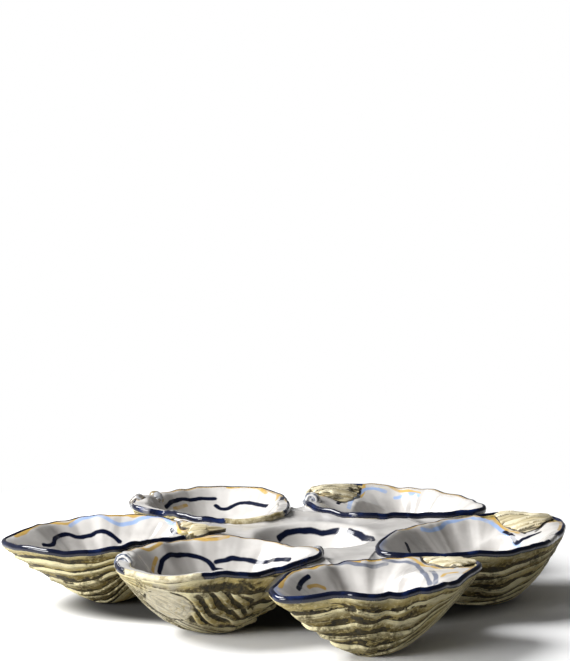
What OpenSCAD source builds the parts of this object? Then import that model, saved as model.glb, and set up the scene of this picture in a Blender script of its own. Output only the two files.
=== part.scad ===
// Oyster plate: six oyster-shell cups in glazed stoneware, luted round a white web with a sauce well.
// Millimetres, +Z up. The feet stand on Z = 0, and the front of the plate faces -Y.

/* [Plate] */
// Height of the rims above the table
rim_height = 42; // [38:1:48]
// Height that a lift share of one adds to a rim
rim_rise = 10; // [0:1:12]
// How far the layout's middle lies left of the origin, which is the middle of the plate's extent
layout_x = 1; // [-10:0.5:10]
// How far it lies to the front of the origin
layout_y = 2.3; // [-10:0.5:10]

/* [Clay] */
// Thickness of the clay over each foot
clay_floor = 7; // [6:0.5:9]
// Width of a foot, as a share of the shell
foot_share = 0.14; // [0.1:0.01:0.18]
// How far the growth plates stand out at the lip end
plate_step = 1.6; // [0.4:0.1:2]
// How far they stand out at the hinge, as a share of that
hinge_step_share = 0.3; // [0:0.05:1]
// Where the growth plates end, as shares of the way out to the rim
plate_edge_shares = [0.3, 0.45, 0.59, 0.73, 0.87]; // from foot to rim
// Width of the groove over each plate, as a share of that way
groove_share = 0.02; // [0.01:0.005:0.03]
// How early the outline turns round towards the foot
rounding_power = 0.5; // [0.3:0.1:0.8]

/* [Rim line] */
// Width of the raised cobalt line
line_width = 3.6; // [3:0.2:4.4]
// Height of the line on the outside of the rim
line_height = 3.4; // [2.6:0.2:4]
// Height of the line on its inner side
line_inner_height = 1; // [0.9:0.1:1.4]
// How far the line's lower edge lies inside its nose
line_tuck = 0.5; // [0.2:0.1:1]

/* [Glaze] */
// Thickness of the white glaze in the shells
glaze_thickness = 0.8; // [0.6:0.1:1]
// Width of the bare clay between line and glaze, where it is narrowest
land_width = 0.8; // [0.6:0.1:1.5]
// Width that a land share of one adds
flap_width = 10; // [0:1:12]
// Levels of the cup's inside, as shares of the way out to the edge of the glaze
cup_shares = [0.84, 0.6, 0.36]; // from rim to middle
// Where the shelf at the hinge ends, as shares of the same way
shelf_shares = [0.34, 0.6]; // low side, high side

/* [Hinge leaves] */
// Thickness of each layer of a leaf of bare clay
leaf_layer = 1.2; // [0.8:0.1:1.4]
// How far a layer draws in over the one below it, as a share of the leaf
leaf_draw_share = 0.2; // [0.1:0.05:0.3]
// Gap between a leaf and the glaze that it lies on
leaf_clearance = 0.3; // [0.2:0.1:0.5]

/* [Centre] */
// Place of the sauce well's middle to the right of the layout's middle
well_x = 17; // [14:1:20]
// The same towards the back
well_y = 11; // [8:1:14]
// Radius of the well's crest
crest_radius = 35; // [32:1:37]
// Height of the crest
crest_height = 38; // [35:1:39]
// Depth of the well below its crest
well_depth = 20; // [12:1:22]
// Thickness of the web and the well
web_thickness = 7; // [6:0.5:8]

/* [Left shell] */
// Place of the shell's middle in the ring, to the right and to the back, in shares of the ring's size
left_place_shares = [-0.785, 0.023]; // -1 to 1
// Bearing of the hinge, anticlockwise from the right
left_turn = 8; // [4:1:12]
// Length from hinge to lip
left_length = 130; // [124:1:132]
// Share of the ring's size that this length fills
left_fill_share = 1.0; // [0.85:0.01:1.15]
// Outline at sixteen even steps anticlockwise from the hinge, in shares of half the length
left_outline_shares = [0.92, 0.80, 0.84, 0.82, 0.74, 0.82, 0.86, 0.85, 1.03, 0.95, 0.84, 0.72,
    0.65, 0.56, 0.54, 0.70]; // 0.4 to 1.1
// Lift of the rim at the same steps
left_lift_shares = [0.1, 0.05, -0.1, 0.05, 0.1, 0, -0.1, 0.05, -0.15, -0.1, -0.15, -0.1,
    0.05, 0.1, -0.05, 0.05]; // -0.3 to 0.3
// Bare land at the same steps
left_land_shares = [1, 0.6, 0.1, 0, 0, 0, 0, 0, 0, 0, 0, 0, 0, 0, 0.1, 0.6]; // 0 to 1
// Foot's place from the middle, in shares of half the length, towards the hinge and to its left
left_foot_shares = [-0.06, 0]; // -0.15 to 0.15
// Fullness of the belly under the hinge, its left side, the lip and its right side
left_belly_powers = [1.7, 1.6, 1.35, 1.6]; // 1.2 straight, 2.4 full
// Hinge shelf: one where the shell has it
left_shelf = 0; // [0:0.1:1]
// Outline of the leaf at the hinge, towards the hinge and to its left, in shares of half the length
left_leaf_shares = [[0.89, 0.04], [0.82, 0.20], [0.72, 0.28], [0.62, 0.24], [0.65, 0.10], [0.77, 0.00]]; // -0.5 to 1

/* [Front left shell] */
// Place of the shell's middle in the ring, to the right and to the back, in shares of the ring's size
front_left_place_shares = [-0.292, -0.446]; // -1 to 1
// Bearing of the hinge, anticlockwise from the right
front_left_turn = 185; // [181:1:189]
// Length from hinge to lip
front_left_length = 118; // [112:1:120]
// Share of the ring's size that this length fills
front_left_fill_share = 0.908; // [0.85:0.01:1.15]
// Outline at sixteen even steps anticlockwise from the hinge, in shares of half the length
front_left_outline_shares = [0.96, 1.04, 0.95, 0.90, 0.77, 0.78, 0.76, 0.87, 1.02, 0.85, 0.90, 0.85,
    0.83, 0.84, 0.79, 0.90]; // 0.4 to 1.1
// Lift of the rim at the same steps
front_left_lift_shares = [0.1, -0.05, -0.1, 0.05, 0.1, -0.05, -0.1, 0.1, 0.2, 0, -0.1, 0.05,
    0.1, -0.05, 0.1, 0.1]; // -0.3 to 0.3
// Bare land at the same steps
front_left_land_shares = [0.5, 0.4, 0.3, 0.3, 0.2, 0, 0, 0.1, 0.4, 0.1, 0, 0, 0, 0, 0, 0.1]; // 0 to 1
// Foot's place from the middle, in shares of half the length, towards the hinge and to its left
front_left_foot_shares = [0.02, 0.05]; // -0.15 to 0.15
// Fullness of the belly under the hinge, its left side, the lip and its right side
front_left_belly_powers = [2, 2.2, 1.6, 2]; // 1.2 straight, 2.4 full
// Hinge shelf: one where the shell has it
front_left_shelf = 0; // [0:0.1:1]

/* [Front right shell] */
// Place of the shell's middle in the ring, to the right and to the back, in shares of the ring's size
front_right_place_shares = [0.385, -0.846]; // -1 to 1
// Bearing of the hinge, anticlockwise from the right
front_right_turn = 30; // [26:1:34]
// Length from hinge to lip
front_right_length = 132; // [126:1:134]
// Share of the ring's size that this length fills
front_right_fill_share = 1.015; // [0.85:0.01:1.15]
// Outline at sixteen even steps anticlockwise from the hinge, in shares of half the length
front_right_outline_shares = [1.02, 0.86, 0.79, 0.64, 0.68, 0.66, 0.76, 0.87, 0.97, 0.66, 0.59, 0.48,
    0.50, 0.58, 0.64, 0.80]; // 0.4 to 1.1
// Lift of the rim at the same steps
front_right_lift_shares = [0.2, 0.1, 0, 0.05, -0.05, 0.05, 0.05, -0.05, -0.2, 0.1, 0.05, -0.1,
    0, 0.05, 0.1, 0.2]; // -0.3 to 0.3
// Bare land at the same steps
front_right_land_shares = [0.9, 0.7, 0.3, 0, 0, 0, 0, 0, 0.1, 0, 0, 0, 0, 0, 0.1, 0.4]; // 0 to 1
// Foot's place from the middle, in shares of half the length, towards the hinge and to its left
front_right_foot_shares = [-0.08, 0]; // -0.15 to 0.15
// Fullness of the belly under the hinge, its left side, the lip and its right side
front_right_belly_powers = [1.85, 1.5, 1.3, 1.4]; // 1.2 straight, 2.4 full
// Hinge shelf: one where the shell has it
front_right_shelf = 1; // [0:0.1:1]
// Outline of the leaf at the hinge, towards the hinge and to its left, in shares of half the length
front_right_leaf_shares = [[1.00, 0.00], [0.93, 0.14], [0.79, 0.31], [0.70, 0.36], [0.64, 0.26], [0.67, 0.08],
    [0.73, -0.09], [0.86, -0.07]]; // -0.5 to 1

/* [Right shell] */
// Place of the shell's middle in the ring, to the right and to the back, in shares of the ring's size
right_place_shares = [0.862, 0.0]; // -1 to 1
// Bearing of the hinge, anticlockwise from the right
right_turn = 38; // [34:1:42]
// Length from hinge to lip
right_length = 142; // [134:1:144]
// Share of the ring's size that this length fills
right_fill_share = 1.092; // [0.85:0.01:1.15]
// Outline at sixteen even steps anticlockwise from the hinge, in shares of half the length
right_outline_shares = [0.96, 0.92, 0.73, 0.62, 0.56, 0.61, 0.66, 0.81, 1.05, 0.86, 0.76, 0.68,
    0.64, 0.66, 0.72, 0.85]; // 0.4 to 1.1
// Lift of the rim at the same steps
right_lift_shares = [0.2, 0.1, 0.05, 0, 0.05, -0.05, 0.05, 0.1, 0, -0.05, 0.05, -0.05,
    -0.05, 0.05, 0.1, 0.2]; // -0.3 to 0.3
// Bare land at the same steps
right_land_shares = [0.9, 1, 0.6, 0.1, 0, 0, 0, 0, 0.1, 0, 0, 0, 0, 0, 0.1, 0.4]; // 0 to 1
// Foot's place from the middle, in shares of half the length, towards the hinge and to its left
right_foot_shares = [0.05, -0.05]; // -0.15 to 0.15
// Fullness of the belly under the hinge, its left side, the lip and its right side
right_belly_powers = [2.3, 1.8, 1.6, 2]; // 1.2 straight, 2.4 full
// Hinge shelf: one where the shell has it
right_shelf = 0.8; // [0:0.1:1]
// Outline of the leaf at the hinge, towards the hinge and to its left, in shares of half the length
right_leaf_shares = [[0.95, 0.00], [0.93, 0.17], [0.84, 0.34], [0.69, 0.42], [0.55, 0.36], [0.48, 0.17],
    [0.47, -0.06], [0.57, -0.11], [0.76, -0.09], [0.90, -0.04]]; // -0.5 to 1

/* [Back right shell] */
// Place of the shell's middle in the ring, to the right and to the back, in shares of the ring's size
back_right_place_shares = [0.569, 0.769]; // -1 to 1
// Bearing of the hinge, anticlockwise from the right
back_right_turn = 150; // [146:1:154]
// Length from hinge to lip
back_right_length = 132; // [126:1:134]
// Share of the ring's size that this length fills
back_right_fill_share = 1.015; // [0.85:0.01:1.15]
// Outline at sixteen even steps anticlockwise from the hinge, in shares of half the length
back_right_outline_shares = [1.00, 0.96, 0.91, 0.82, 0.83, 0.71, 0.69, 0.82, 0.93, 0.78, 0.72, 0.62,
    0.62, 0.72, 0.82, 0.92]; // 0.4 to 1.1
// Lift of the rim at the same steps
back_right_lift_shares = [0.2, 0.1, 0, -0.05, 0.05, 0, -0.05, 0.05, 0.15, 0, -0.05, 0.05,
    0.05, -0.05, 0.05, 0.15]; // -0.3 to 0.3
// Bare land at the same steps
back_right_land_shares = [1, 0.6, 0.2, 0, 0, 0, 0, 0, 0.1, 0, 0, 0, 0, 0.1, 0.4, 0.9]; // 0 to 1
// Foot's place from the middle, in shares of half the length, towards the hinge and to its left
back_right_foot_shares = [0, 0]; // -0.15 to 0.15
// Fullness of the belly under the hinge, its left side, the lip and its right side
back_right_belly_powers = [1.9, 1.6, 1.5, 1.6]; // 1.2 straight, 2.4 full
// Hinge shelf: one where the shell has it
back_right_shelf = 0.8; // [0:0.1:1]
// Outline of the leaf at the hinge, towards the hinge and to its left, in shares of half the length
back_right_leaf_shares = [[0.98, -0.03], [0.92, -0.21], [0.83, -0.33], [0.70, -0.40], [0.60, -0.30], [0.52, -0.03],
    [0.55, 0.12], [0.73, 0.18], [0.89, 0.13]]; // -0.5 to 1

/* [Back left shell] */
// Place of the shell's middle in the ring, to the right and to the back, in shares of the ring's size
back_left_place_shares = [-0.354, 0.677]; // -1 to 1
// Bearing of the hinge, anticlockwise from the right
back_left_turn = 170; // [166:1:174]
// Length from hinge to lip
back_left_length = 116; // [110:1:118]
// Share of the ring's size that this length fills
back_left_fill_share = 0.892; // [0.85:0.01:1.15]
// Outline at sixteen even steps anticlockwise from the hinge, in shares of half the length
back_left_outline_shares = [0.92, 0.90, 0.66, 0.68, 0.76, 0.82, 0.94, 0.95, 0.89, 0.88, 0.97, 1.04,
    1.08, 1.04, 0.89, 0.86]; // 0.4 to 1.1
// Lift of the rim at the same steps
back_left_lift_shares = [0.15, 0.1, -0.05, 0.05, 0, -0.05, 0.05, 0.05, 0.1, -0.05, 0, 0.05,
    -0.05, 0, 0.05, 0.1]; // -0.3 to 0.3
// Bare land at the same steps
back_left_land_shares = [0.6, 0.5, 0.1, 0, 0, 0, 0.1, 0.3, 0.4, 0.3, 0.1, 0, 0, 0, 0.1, 0.4]; // 0 to 1
// Foot's place from the middle, in shares of half the length, towards the hinge and to its left
back_left_foot_shares = [0, 0]; // -0.15 to 0.15
// Fullness of the belly under the hinge, its left side, the lip and its right side
back_left_belly_powers = [1.8, 1.6, 1.6, 1.6]; // 1.2 straight, 2.4 full
// Hinge shelf: one where the shell has it
back_left_shelf = 0; // [0:0.1:1]

/* [Hidden] */

clay_colour = "#C9BC8A";
glaze_colour = "#EFECE8";
cobalt_colour = "#13265A";

leaf_colour = "#B5A47A";

// Layers of a leaf, points of its outline for each of its shares, and steps that its sheet spans each way
leaf_layers = 2;
leaf_points = 4;
leaf_reach = 5;
// Steps round a shell, two for each share of its outline
around = 32;
full_turn = 360;
// How far a groove lies behind the wall, in plate steps
groove_push = -0.6;
// How far the web sags between shells and crest, as a share of the well's depth
web_sag_share = 0.05;
// Rings down the well: radius in crest radii, depth in well depths
well_shares = [[0.8, 0.5], [0.45, 0.93]];

// A shell's record, and how its values are read
function place_of(shell) = shell[0];
function turn_of(shell) = shell[1];
function length_of(shell) = shell[2];
function fill_of(shell) = shell[3];
function outline_of(shell) = shell[4];
function lifts_of(shell) = shell[5];
function lands_of(shell) = shell[6];
function foot_of(shell) = shell[7];
function belly_of(shell) = shell[8];
function shelf_of(shell) = shell[9];
left = [
    left_place_shares, left_turn, left_length, left_fill_share, left_outline_shares, left_lift_shares,
    left_land_shares, left_foot_shares, left_belly_powers, left_shelf
];
front_left = [
    front_left_place_shares, front_left_turn, front_left_length, front_left_fill_share,
    front_left_outline_shares, front_left_lift_shares, front_left_land_shares, front_left_foot_shares,
    front_left_belly_powers, front_left_shelf
];
front_right = [
    front_right_place_shares, front_right_turn, front_right_length, front_right_fill_share,
    front_right_outline_shares, front_right_lift_shares, front_right_land_shares,
    front_right_foot_shares, front_right_belly_powers, front_right_shelf
];
right = [
    right_place_shares, right_turn, right_length, right_fill_share, right_outline_shares,
    right_lift_shares, right_land_shares, right_foot_shares, right_belly_powers, right_shelf
];
back_right = [
    back_right_place_shares, back_right_turn, back_right_length, back_right_fill_share,
    back_right_outline_shares, back_right_lift_shares, back_right_land_shares, back_right_foot_shares,
    back_right_belly_powers, back_right_shelf
];
back_left = [
    back_left_place_shares, back_left_turn, back_left_length, back_left_fill_share,
    back_left_outline_shares, back_left_lift_shares, back_left_land_shares, back_left_foot_shares,
    back_left_belly_powers, back_left_shelf
];
// The ring is as large as its fullest shell asks, so a longer shell moves all six out and none meet
ring_size = max([for (shell = [left, front_left, front_right, right, back_right, back_left])
    length_of(shell) / fill_of(shell)]);

// Smooth value of a closed table, a share of a turn from its first entry
function table_at(table, share) =
    let (
        count = len(table),
        spot = share * count,
        knot = floor(spot),
        part = spot - knot,
        a = table[(knot + count - 1) % count],
        b = table[knot % count],
        c = table[(knot + 1) % count],
        d = table[(knot + 2) % count]
    )
    b + part * (c - a) / 2 + part * part * (a - 2.5 * b + 2 * c - d / 2)
        + part * part * part * (1.5 * (b - c) + (d - a) / 2);

function mean(table) = table * [for (entry = table) 1] / len(table);
function smooth(low, high, value) =
    let (part = min(1, max(0, (value - low) / (high - low))))
    part * part * (3 - 2 * part);

// Measures of a shell at a step round it
function half_length(shell) = length_of(shell) / 2;
function edge_radius(shell, step) = half_length(shell) * table_at(outline_of(shell), step / around);
function edge_height(shell, step) = rim_height + rim_rise * table_at(lifts_of(shell), step / around);
function land(shell, step) = land_width + flap_width * max(0, table_at(lands_of(shell), step / around));
function bearing(shell, step) = turn_of(shell) + full_turn * step / around;
function lip_share(step) = (1 - cos(full_turn * step / around)) / 2;

// A point of a shell: middle of its section at a level, then out along the bearing
function shell_point(shell, step, level, radius, height) =
    let (
        sway = half_length(shell) * (1 - level),
        foot = foot_of(shell),
        turn = turn_of(shell),
        along = bearing(shell, step),
        middle = ring_size * place_of(shell) - [layout_x, layout_y]
    )
    [
        middle[0] + sway * (foot[0] * cos(turn) - foot[1] * sin(turn)) + radius * cos(along),
        middle[1] + sway * (foot[0] * sin(turn) + foot[1] * cos(turn)) + radius * sin(along),
        height
    ];

// A point of the rim, set in and down from its nose
function edge_point(shell, step, inset, drop) =
    shell_point(shell, step, 1, edge_radius(shell, step) - inset, edge_height(shell, step) - drop);

// The outside wall: the outline shrinks and rounds off towards the foot
function wall_point(shell, step, level, push) =
    let (
        outline_share = pow(level, rounding_power),
        round_radius = half_length(shell) * mean(outline_of(shell)),
        outer_radius = edge_radius(shell, step) - line_tuck,
        radius = level * (outer_radius * outline_share + round_radius * (1 - outline_share)),
        step_out = push * plate_step * (hinge_step_share + (1 - hinge_step_share) * lip_share(step)),
        rise = (level - foot_share) / (1 - foot_share),
        power = table_at(belly_of(shell), step / around),
        height = (edge_height(shell, step) - line_height) * pow(rise, power)
    )
    shell_point(shell, step, level, radius + step_out, height);

// The inside of the cup: a bowl, with a shelf at the hinge where the shell has one
function cup_height_share(shell, step, level) =
    let (
        bowl = pow(level, table_at(belly_of(shell), step / around) - 0.15),
        hinge_share = pow(1 - lip_share(step), 4),
        shelf = shelf_of(shell) * hinge_share * smooth(shelf_shares[0], shelf_shares[1], level)
    )
    bowl + (1 - bowl) * shelf * 0.9;
function cup_point(shell, step, level, lift) =
    let (
        edge = edge_radius(shell, step) - line_width - land(shell, step),
        edge_low = edge_height(shell, step) - line_inner_height,
        height = clay_floor + (edge_low - clay_floor) * cup_height_share(shell, step, level)
    )
    shell_point(shell, step, level, level * edge, height + lift);

// Tiers of the clay's outside that the web and the bridges meet: a plate, its groove and the rim
top_plate_share = plate_edge_shares[len(plate_edge_shares) - 1];
function seam_point(shell, step, tier) =
    tier == 0 ? wall_point(shell, step, top_plate_share, 1) :
    tier == 1 ? wall_point(shell, step, top_plate_share + groove_share, groove_push) :
    edge_point(shell, step, line_tuck, line_height);

// Arcs of the shells that the web meets, anticlockwise round it: shell, first step and last step
function web_arcs() = [
    [right, 15, 8],
    [back_right, 11, 5],
    [back_left, 16, 9],
    [left, 1, 0],
    [front_left, 23, 16],
    [front_right, 8, 6]
];
// Valleys between the arcs: the shells on both sides, their steps at the valley's mouth, and steps outwards
function valleys() = [
    [right, 8, back_right, 11, 4],
    [back_right, 5, back_left, 16, 3],
    [back_left, 9, left, 1, 4],
    [left, 32, front_left, 23, 5],
    [front_left, 16, front_right, 8, 4],
    [front_right, 6, right, 15, 4]
];

// Rings of points round a shell
function steps() = [0 : around - 1];
function wall_ring(shell, level, push) = [for (step = steps()) wall_point(shell, step, level, push)];
function cup_ring(shell, level, lift) = [for (step = steps()) cup_point(shell, step, level, lift)];
function edge_ring(shell, inset, drop) = [for (step = steps()) edge_point(shell, step, inset, drop)];
function line_foot_ring(shell) = edge_ring(shell, line_tuck, line_height);
function line_inner_ring(shell) = edge_ring(shell, line_width, line_inner_height);
function cup_middle(shell, lift) = cup_point(shell, 0, 0, lift);

// Faces between two rings of one count, where the first is the one that the surface meets first
function band(first, second, count) =
    [for (step = [0 : count - 1])
        let (next = (step + 1) % count)
        each [[first + step, second + next, first + next], [first + step, second + step, second + next]]];
function bands(rings, count) =
    [for (ring = [0 : rings - 2]) each band(ring * count, (ring + 1) * count, count)];
function fan(ring, tip, count) =
    [for (step = [0 : count - 1]) [ring + step, tip, ring + (step + 1) % count]];
function turned(faces) = [for (face = faces) [face[2], face[1], face[0]]];
function shifted(faces, by) = [for (face = faces) [for (corner = face) corner + by]];

// Clay shell: foot, growth plates, rim, bare land and the bed of the glaze
module shell_body(shell) {
    plates = [for (level = plate_edge_shares) each [
        wall_ring(shell, level, 1),
        wall_ring(shell, level + groove_share, groove_push)
    ]];
    rings = concat(
        [wall_ring(shell, foot_share, 0)],
        plates,
        [line_foot_ring(shell), line_inner_ring(shell), cup_ring(shell, 1, 0)],
        [for (level = cup_shares) cup_ring(shell, level, 0)]
    );
    points = concat([for (ring = rings) each ring], [cup_middle(shell, 0)]);
    top = (len(rings) - 1) * around;
    foot = [for (step = steps()) step];
    faces = concat([foot], bands(len(rings), around), fan(top, top + around, around));
    color(clay_colour) polyhedron(points = points, faces = faces, convexity = 6);
}

// White glaze: its back lies on the bed, its top a glaze thickness above
module shell_lining(shell) {
    levels = concat([1], cup_shares);
    count = len(levels) * around;
    back = concat([for (level = levels) each cup_ring(shell, level, 0)], [cup_middle(shell, 0)]);
    front = concat(
        [for (level = levels) each cup_ring(shell, level, glaze_thickness)],
        [cup_middle(shell, glaze_thickness)]
    );
    sheet = concat(bands(len(levels), around), fan(count - around, count, around));
    edge = band(0, len(back), around);
    faces = concat(turned(sheet), shifted(sheet, len(back)), edge);
    color(glaze_colour) polyhedron(points = concat(back, front), faces = faces, convexity = 6);
}

// Cobalt line along the rim: it sits on the slope between line_foot_ring and line_inner_ring
module rim_line(shell) {
    rings = [
        line_foot_ring(shell),
        edge_ring(shell, 0, line_height / 2),
        edge_ring(shell, line_width / 2, 0),
        line_inner_ring(shell)
    ];
    back = turned(band(0, (len(rings) - 1) * around, around));
    color(cobalt_colour)
        polyhedron(points = [for (ring = rings) each ring], faces = concat(bands(len(rings), around), back),
            convexity = 6);
}

// Leaves of bare clay over the hinge ends: a sheet that follows the glaze under it, cut to the leaf's outline
function leaves() = [
    [left, left_leaf_shares],
    [front_right, front_right_leaf_shares],
    [right, right_leaf_shares],
    [back_right, back_right_leaf_shares]
];
function sheet_rows(shell, lift) =
    let (span = [around - leaf_reach : around + leaf_reach])
    concat(
        [for (share = [cup_shares[2], cup_shares[1], cup_shares[0], 1])
            [for (step = span) cup_point(shell, step, share, lift)]],
        [[for (step = span) edge_point(shell, step, line_width + leaf_clearance, line_inner_height - lift)]]
    );
module leaf_sheet(shell, low, high) {
    under = sheet_rows(shell, low);
    over = sheet_rows(shell, high);
    wide = len(under[0]);
    deep = len(under);
    count = wide * deep;
    top = [for (row = [0 : deep - 2]) for (column = [0 : wide - 2])
        let (here = row * wide + column)
        each [[here, here + 1, here + wide], [here + 1, here + wide + 1, here + wide]]];
    edge = concat(
        [for (column = [0 : wide - 1]) column],
        [for (row = [1 : deep - 1]) row * wide + wide - 1],
        [for (column = [wide - 2 : -1 : 0]) (deep - 1) * wide + column],
        [for (row = [deep - 2 : -1 : 1]) row * wide]
    );
    sides = [for (place = [0 : len(edge) - 1])
        let (here = edge[place], next = edge[(place + 1) % len(edge)])
        each [[here, next, here + count], [next, next + count, here + count]]];
    polyhedron(points = concat([for (row = under) each row], [for (row = over) each row]),
        faces = concat(shifted(top, count), turned(top), sides), convexity = 4);
}
module hinge_leaf(shell, outline) {
    base = glaze_thickness + leaf_clearance;
    tip = half_length(shell) * outline[0];
    count = len(outline) * leaf_points;
    middle = ring_size * place_of(shell) - [layout_x, layout_y];
    for (layer = [0 : leaf_layers - 1]) {
        size_share = 1 - leaf_draw_share * layer;
        flat = [for (place = [0 : count - 1])
            let (point = half_length(shell) * [
                table_at([for (corner = outline) corner[0]], place / count),
                table_at([for (corner = outline) corner[1]], place / count)])
            tip + (point - tip) * size_share];
        intersection() {
            leaf_sheet(shell, base + leaf_layer * layer / 2, base + leaf_layer * (layer + 1));
            translate([middle[0], middle[1], 0])
                rotate(turn_of(shell))
                    linear_extrude(rim_height + 2 * rim_rise) polygon(flat);
        }
    }
}
module hinge_leaves() {
    color(leaf_colour)
        for (leaf = leaves())
            hinge_leaf(leaf[0], leaf[1]);
}

// The same band with the other diagonal, which a shell's own band shows to what stands round it
function seam_band(first, second, count) =
    [for (step = [0 : count - 1])
        let (next = (step + 1) % count)
        each [[first + step, second + step, first + next], [first + next, second + step, second + next]]];

// White web between the shells, with the sauce well in its middle
module centre_dish() {
    outline = [for (tier = [0 : 2])
        [for (arc = web_arcs()) for (step = [arc[1] : -1 : arc[2]]) seam_point(arc[0], step, tier)]];
    count = len(outline[0]);
    well_middle = [well_x - layout_x, well_y - layout_y];
    function around_well(radius_share, depth_share) =
        [for (point = outline[2])
            let (angle = atan2(point[1] - well_middle[1], point[0] - well_middle[0]))
            [
                well_middle[0] + crest_radius * radius_share * cos(angle),
                well_middle[1] + crest_radius * radius_share * sin(angle),
                crest_height - well_depth * depth_share
            ]];
    crest = around_well(1, 0);
    slope = [for (step = [0 : count - 1])
        (outline[2][step] + crest[step]) / 2 - [0, 0, well_depth * web_sag_share]];
    top_rings = concat([slope, crest], [for (share = well_shares) around_well(share[0], share[1])]);
    well_bottom = [well_middle[0], well_middle[1], crest_height - well_depth];
    down = [0, 0, -web_thickness];
    under_rings = [for (ring = [len(top_rings) - 1 : -1 : 0]) [for (point = top_rings[ring]) point + down]];
    rings = concat(under_rings, outline, top_rings);
    seam = len(under_rings);
    tip = len(rings) * count;
    faces = concat(
        bands(len(under_rings) + 1, count),
        seam_band(seam * count, (seam + 1) * count, count),
        seam_band((seam + 1) * count, (seam + 2) * count, count),
        shifted(bands(len(top_rings) + 1, count), (seam + 2) * count),
        fan(tip - count, tip, count),
        turned(fan(0, tip + 1, count))
    );
    points = concat([for (ring = rings) each ring], [well_bottom, well_bottom + down]);
    color(glaze_colour) polyhedron(points = points, faces = faces, convexity = 8);
}

// White slip that closes the valley between two shells, from its mouth outwards
module slip_bridge(valley) {
    length = valley[4];
    rings = [for (tier = [0 : 2]) concat(
        [for (step = [0 : length]) seam_point(valley[0], valley[1] - step, tier)],
        [for (step = [length : -1 : 0]) seam_point(valley[2], valley[3] + step, tier)]
    )];
    count = 2 * (length + 1);
    top = 2 * count;
    mouth = count - 1;
    side = [for (tier = [0, 1])
        let (first = tier * count, second = first + count)
        each concat(
            [for (step = [0 : mouth - 1])
                each [[first + step, second + step, first + step + 1],
                    [first + step + 1, second + step, second + step + 1]]],
            [[first + mouth, second, first], [first + mouth, second + mouth, second]]
        )];
    floor_faces = [for (step = [0 : length - 1])
        each [[step, step + 1, mouth - step], [step + 1, mouth - step - 1, mouth - step]]];
    faces = concat(side, floor_faces, shifted(turned(floor_faces), top));
    polyhedron(points = [for (ring = rings) each ring], faces = faces, convexity = 4);
}
module slip_bridges() {
    color(glaze_colour)
        for (valley = valleys())
            slip_bridge(valley);
}

shell_body(left);  // left_shell
shell_lining(left);  // left_lining
rim_line(left);  // left_rim_line
shell_body(front_left);  // front_left_shell
shell_lining(front_left);  // front_left_lining
rim_line(front_left);  // front_left_rim_line
shell_body(front_right);  // front_right_shell
shell_lining(front_right);  // front_right_lining
rim_line(front_right);  // front_right_rim_line
shell_body(right);  // right_shell
shell_lining(right);  // right_lining
rim_line(right);  // right_rim_line
shell_body(back_right);  // back_right_shell
shell_lining(back_right);  // back_right_lining
rim_line(back_right);  // back_right_rim_line
shell_body(back_left);  // back_left_shell
shell_lining(back_left);  // back_left_lining
rim_line(back_left);  // back_left_rim_line
hinge_leaves();
centre_dish();
slip_bridges();
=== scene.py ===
import math
import bmesh
import bpy
import numpy as np
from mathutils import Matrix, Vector, noise


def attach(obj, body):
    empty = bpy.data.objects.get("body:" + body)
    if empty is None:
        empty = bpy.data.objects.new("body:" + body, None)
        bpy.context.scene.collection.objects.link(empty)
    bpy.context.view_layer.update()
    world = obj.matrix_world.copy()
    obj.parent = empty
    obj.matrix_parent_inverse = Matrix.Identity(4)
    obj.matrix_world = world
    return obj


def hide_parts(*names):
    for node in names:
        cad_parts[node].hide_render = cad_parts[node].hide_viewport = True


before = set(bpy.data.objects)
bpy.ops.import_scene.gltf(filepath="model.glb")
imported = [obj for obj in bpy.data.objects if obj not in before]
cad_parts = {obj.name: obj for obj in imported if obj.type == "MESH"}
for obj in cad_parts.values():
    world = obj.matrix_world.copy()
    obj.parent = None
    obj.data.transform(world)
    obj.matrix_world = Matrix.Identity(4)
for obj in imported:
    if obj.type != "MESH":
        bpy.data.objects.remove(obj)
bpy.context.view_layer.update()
mm = 0.001  # sizes below are in millimetres, Blender works in metres
fullTurn = 2 * math.pi
print("stage: frame loaded, with", len(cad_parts), "clay and glaze parts")


# Node trees: arithmetic on sockets adds Math nodes, and any other node comes from Graph.node

def operator(operation, swapped=False):  # a method of Wire, swapped where the plain number comes first
    def method(self, other):
        return self.maths(operation, *((other, self) if swapped else (self, other)))
    return method


class Wire:
    def __init__(self, graph, socket):
        self.graph, self.socket = graph, socket

    def out(self, name):
        return Wire(self.graph, self.socket.node.outputs[name])

    def maths(self, operation, *values):
        return self.graph.node("ShaderNodeMath", {"operation": operation}, dict(enumerate(values)))

    __add__, __radd__ = operator("ADD"), operator("ADD", swapped=True)
    __sub__, __rsub__ = operator("SUBTRACT"), operator("SUBTRACT", swapped=True)
    __mul__, __rmul__ = operator("MULTIPLY"), operator("MULTIPLY", swapped=True)
    __truediv__, __rtruediv__ = operator("DIVIDE"), operator("DIVIDE", swapped=True)
    __pow__, atMost, atLeast = operator("POWER"), operator("MINIMUM"), operator("MAXIMUM")

    def fraction(self):
        return self.maths("FRACT", self)

    def whole(self):
        return self.maths("FLOOR", self)

    def between(self, low, high):  # 0 at low, 1 at high, smooth in between, and low may be the larger
        ends = {"Value": self, "From Min": low, "From Max": high}
        return self.graph.node("ShaderNodeMapRange", {"interpolation_type": "SMOOTHSTEP"}, ends)


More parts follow.
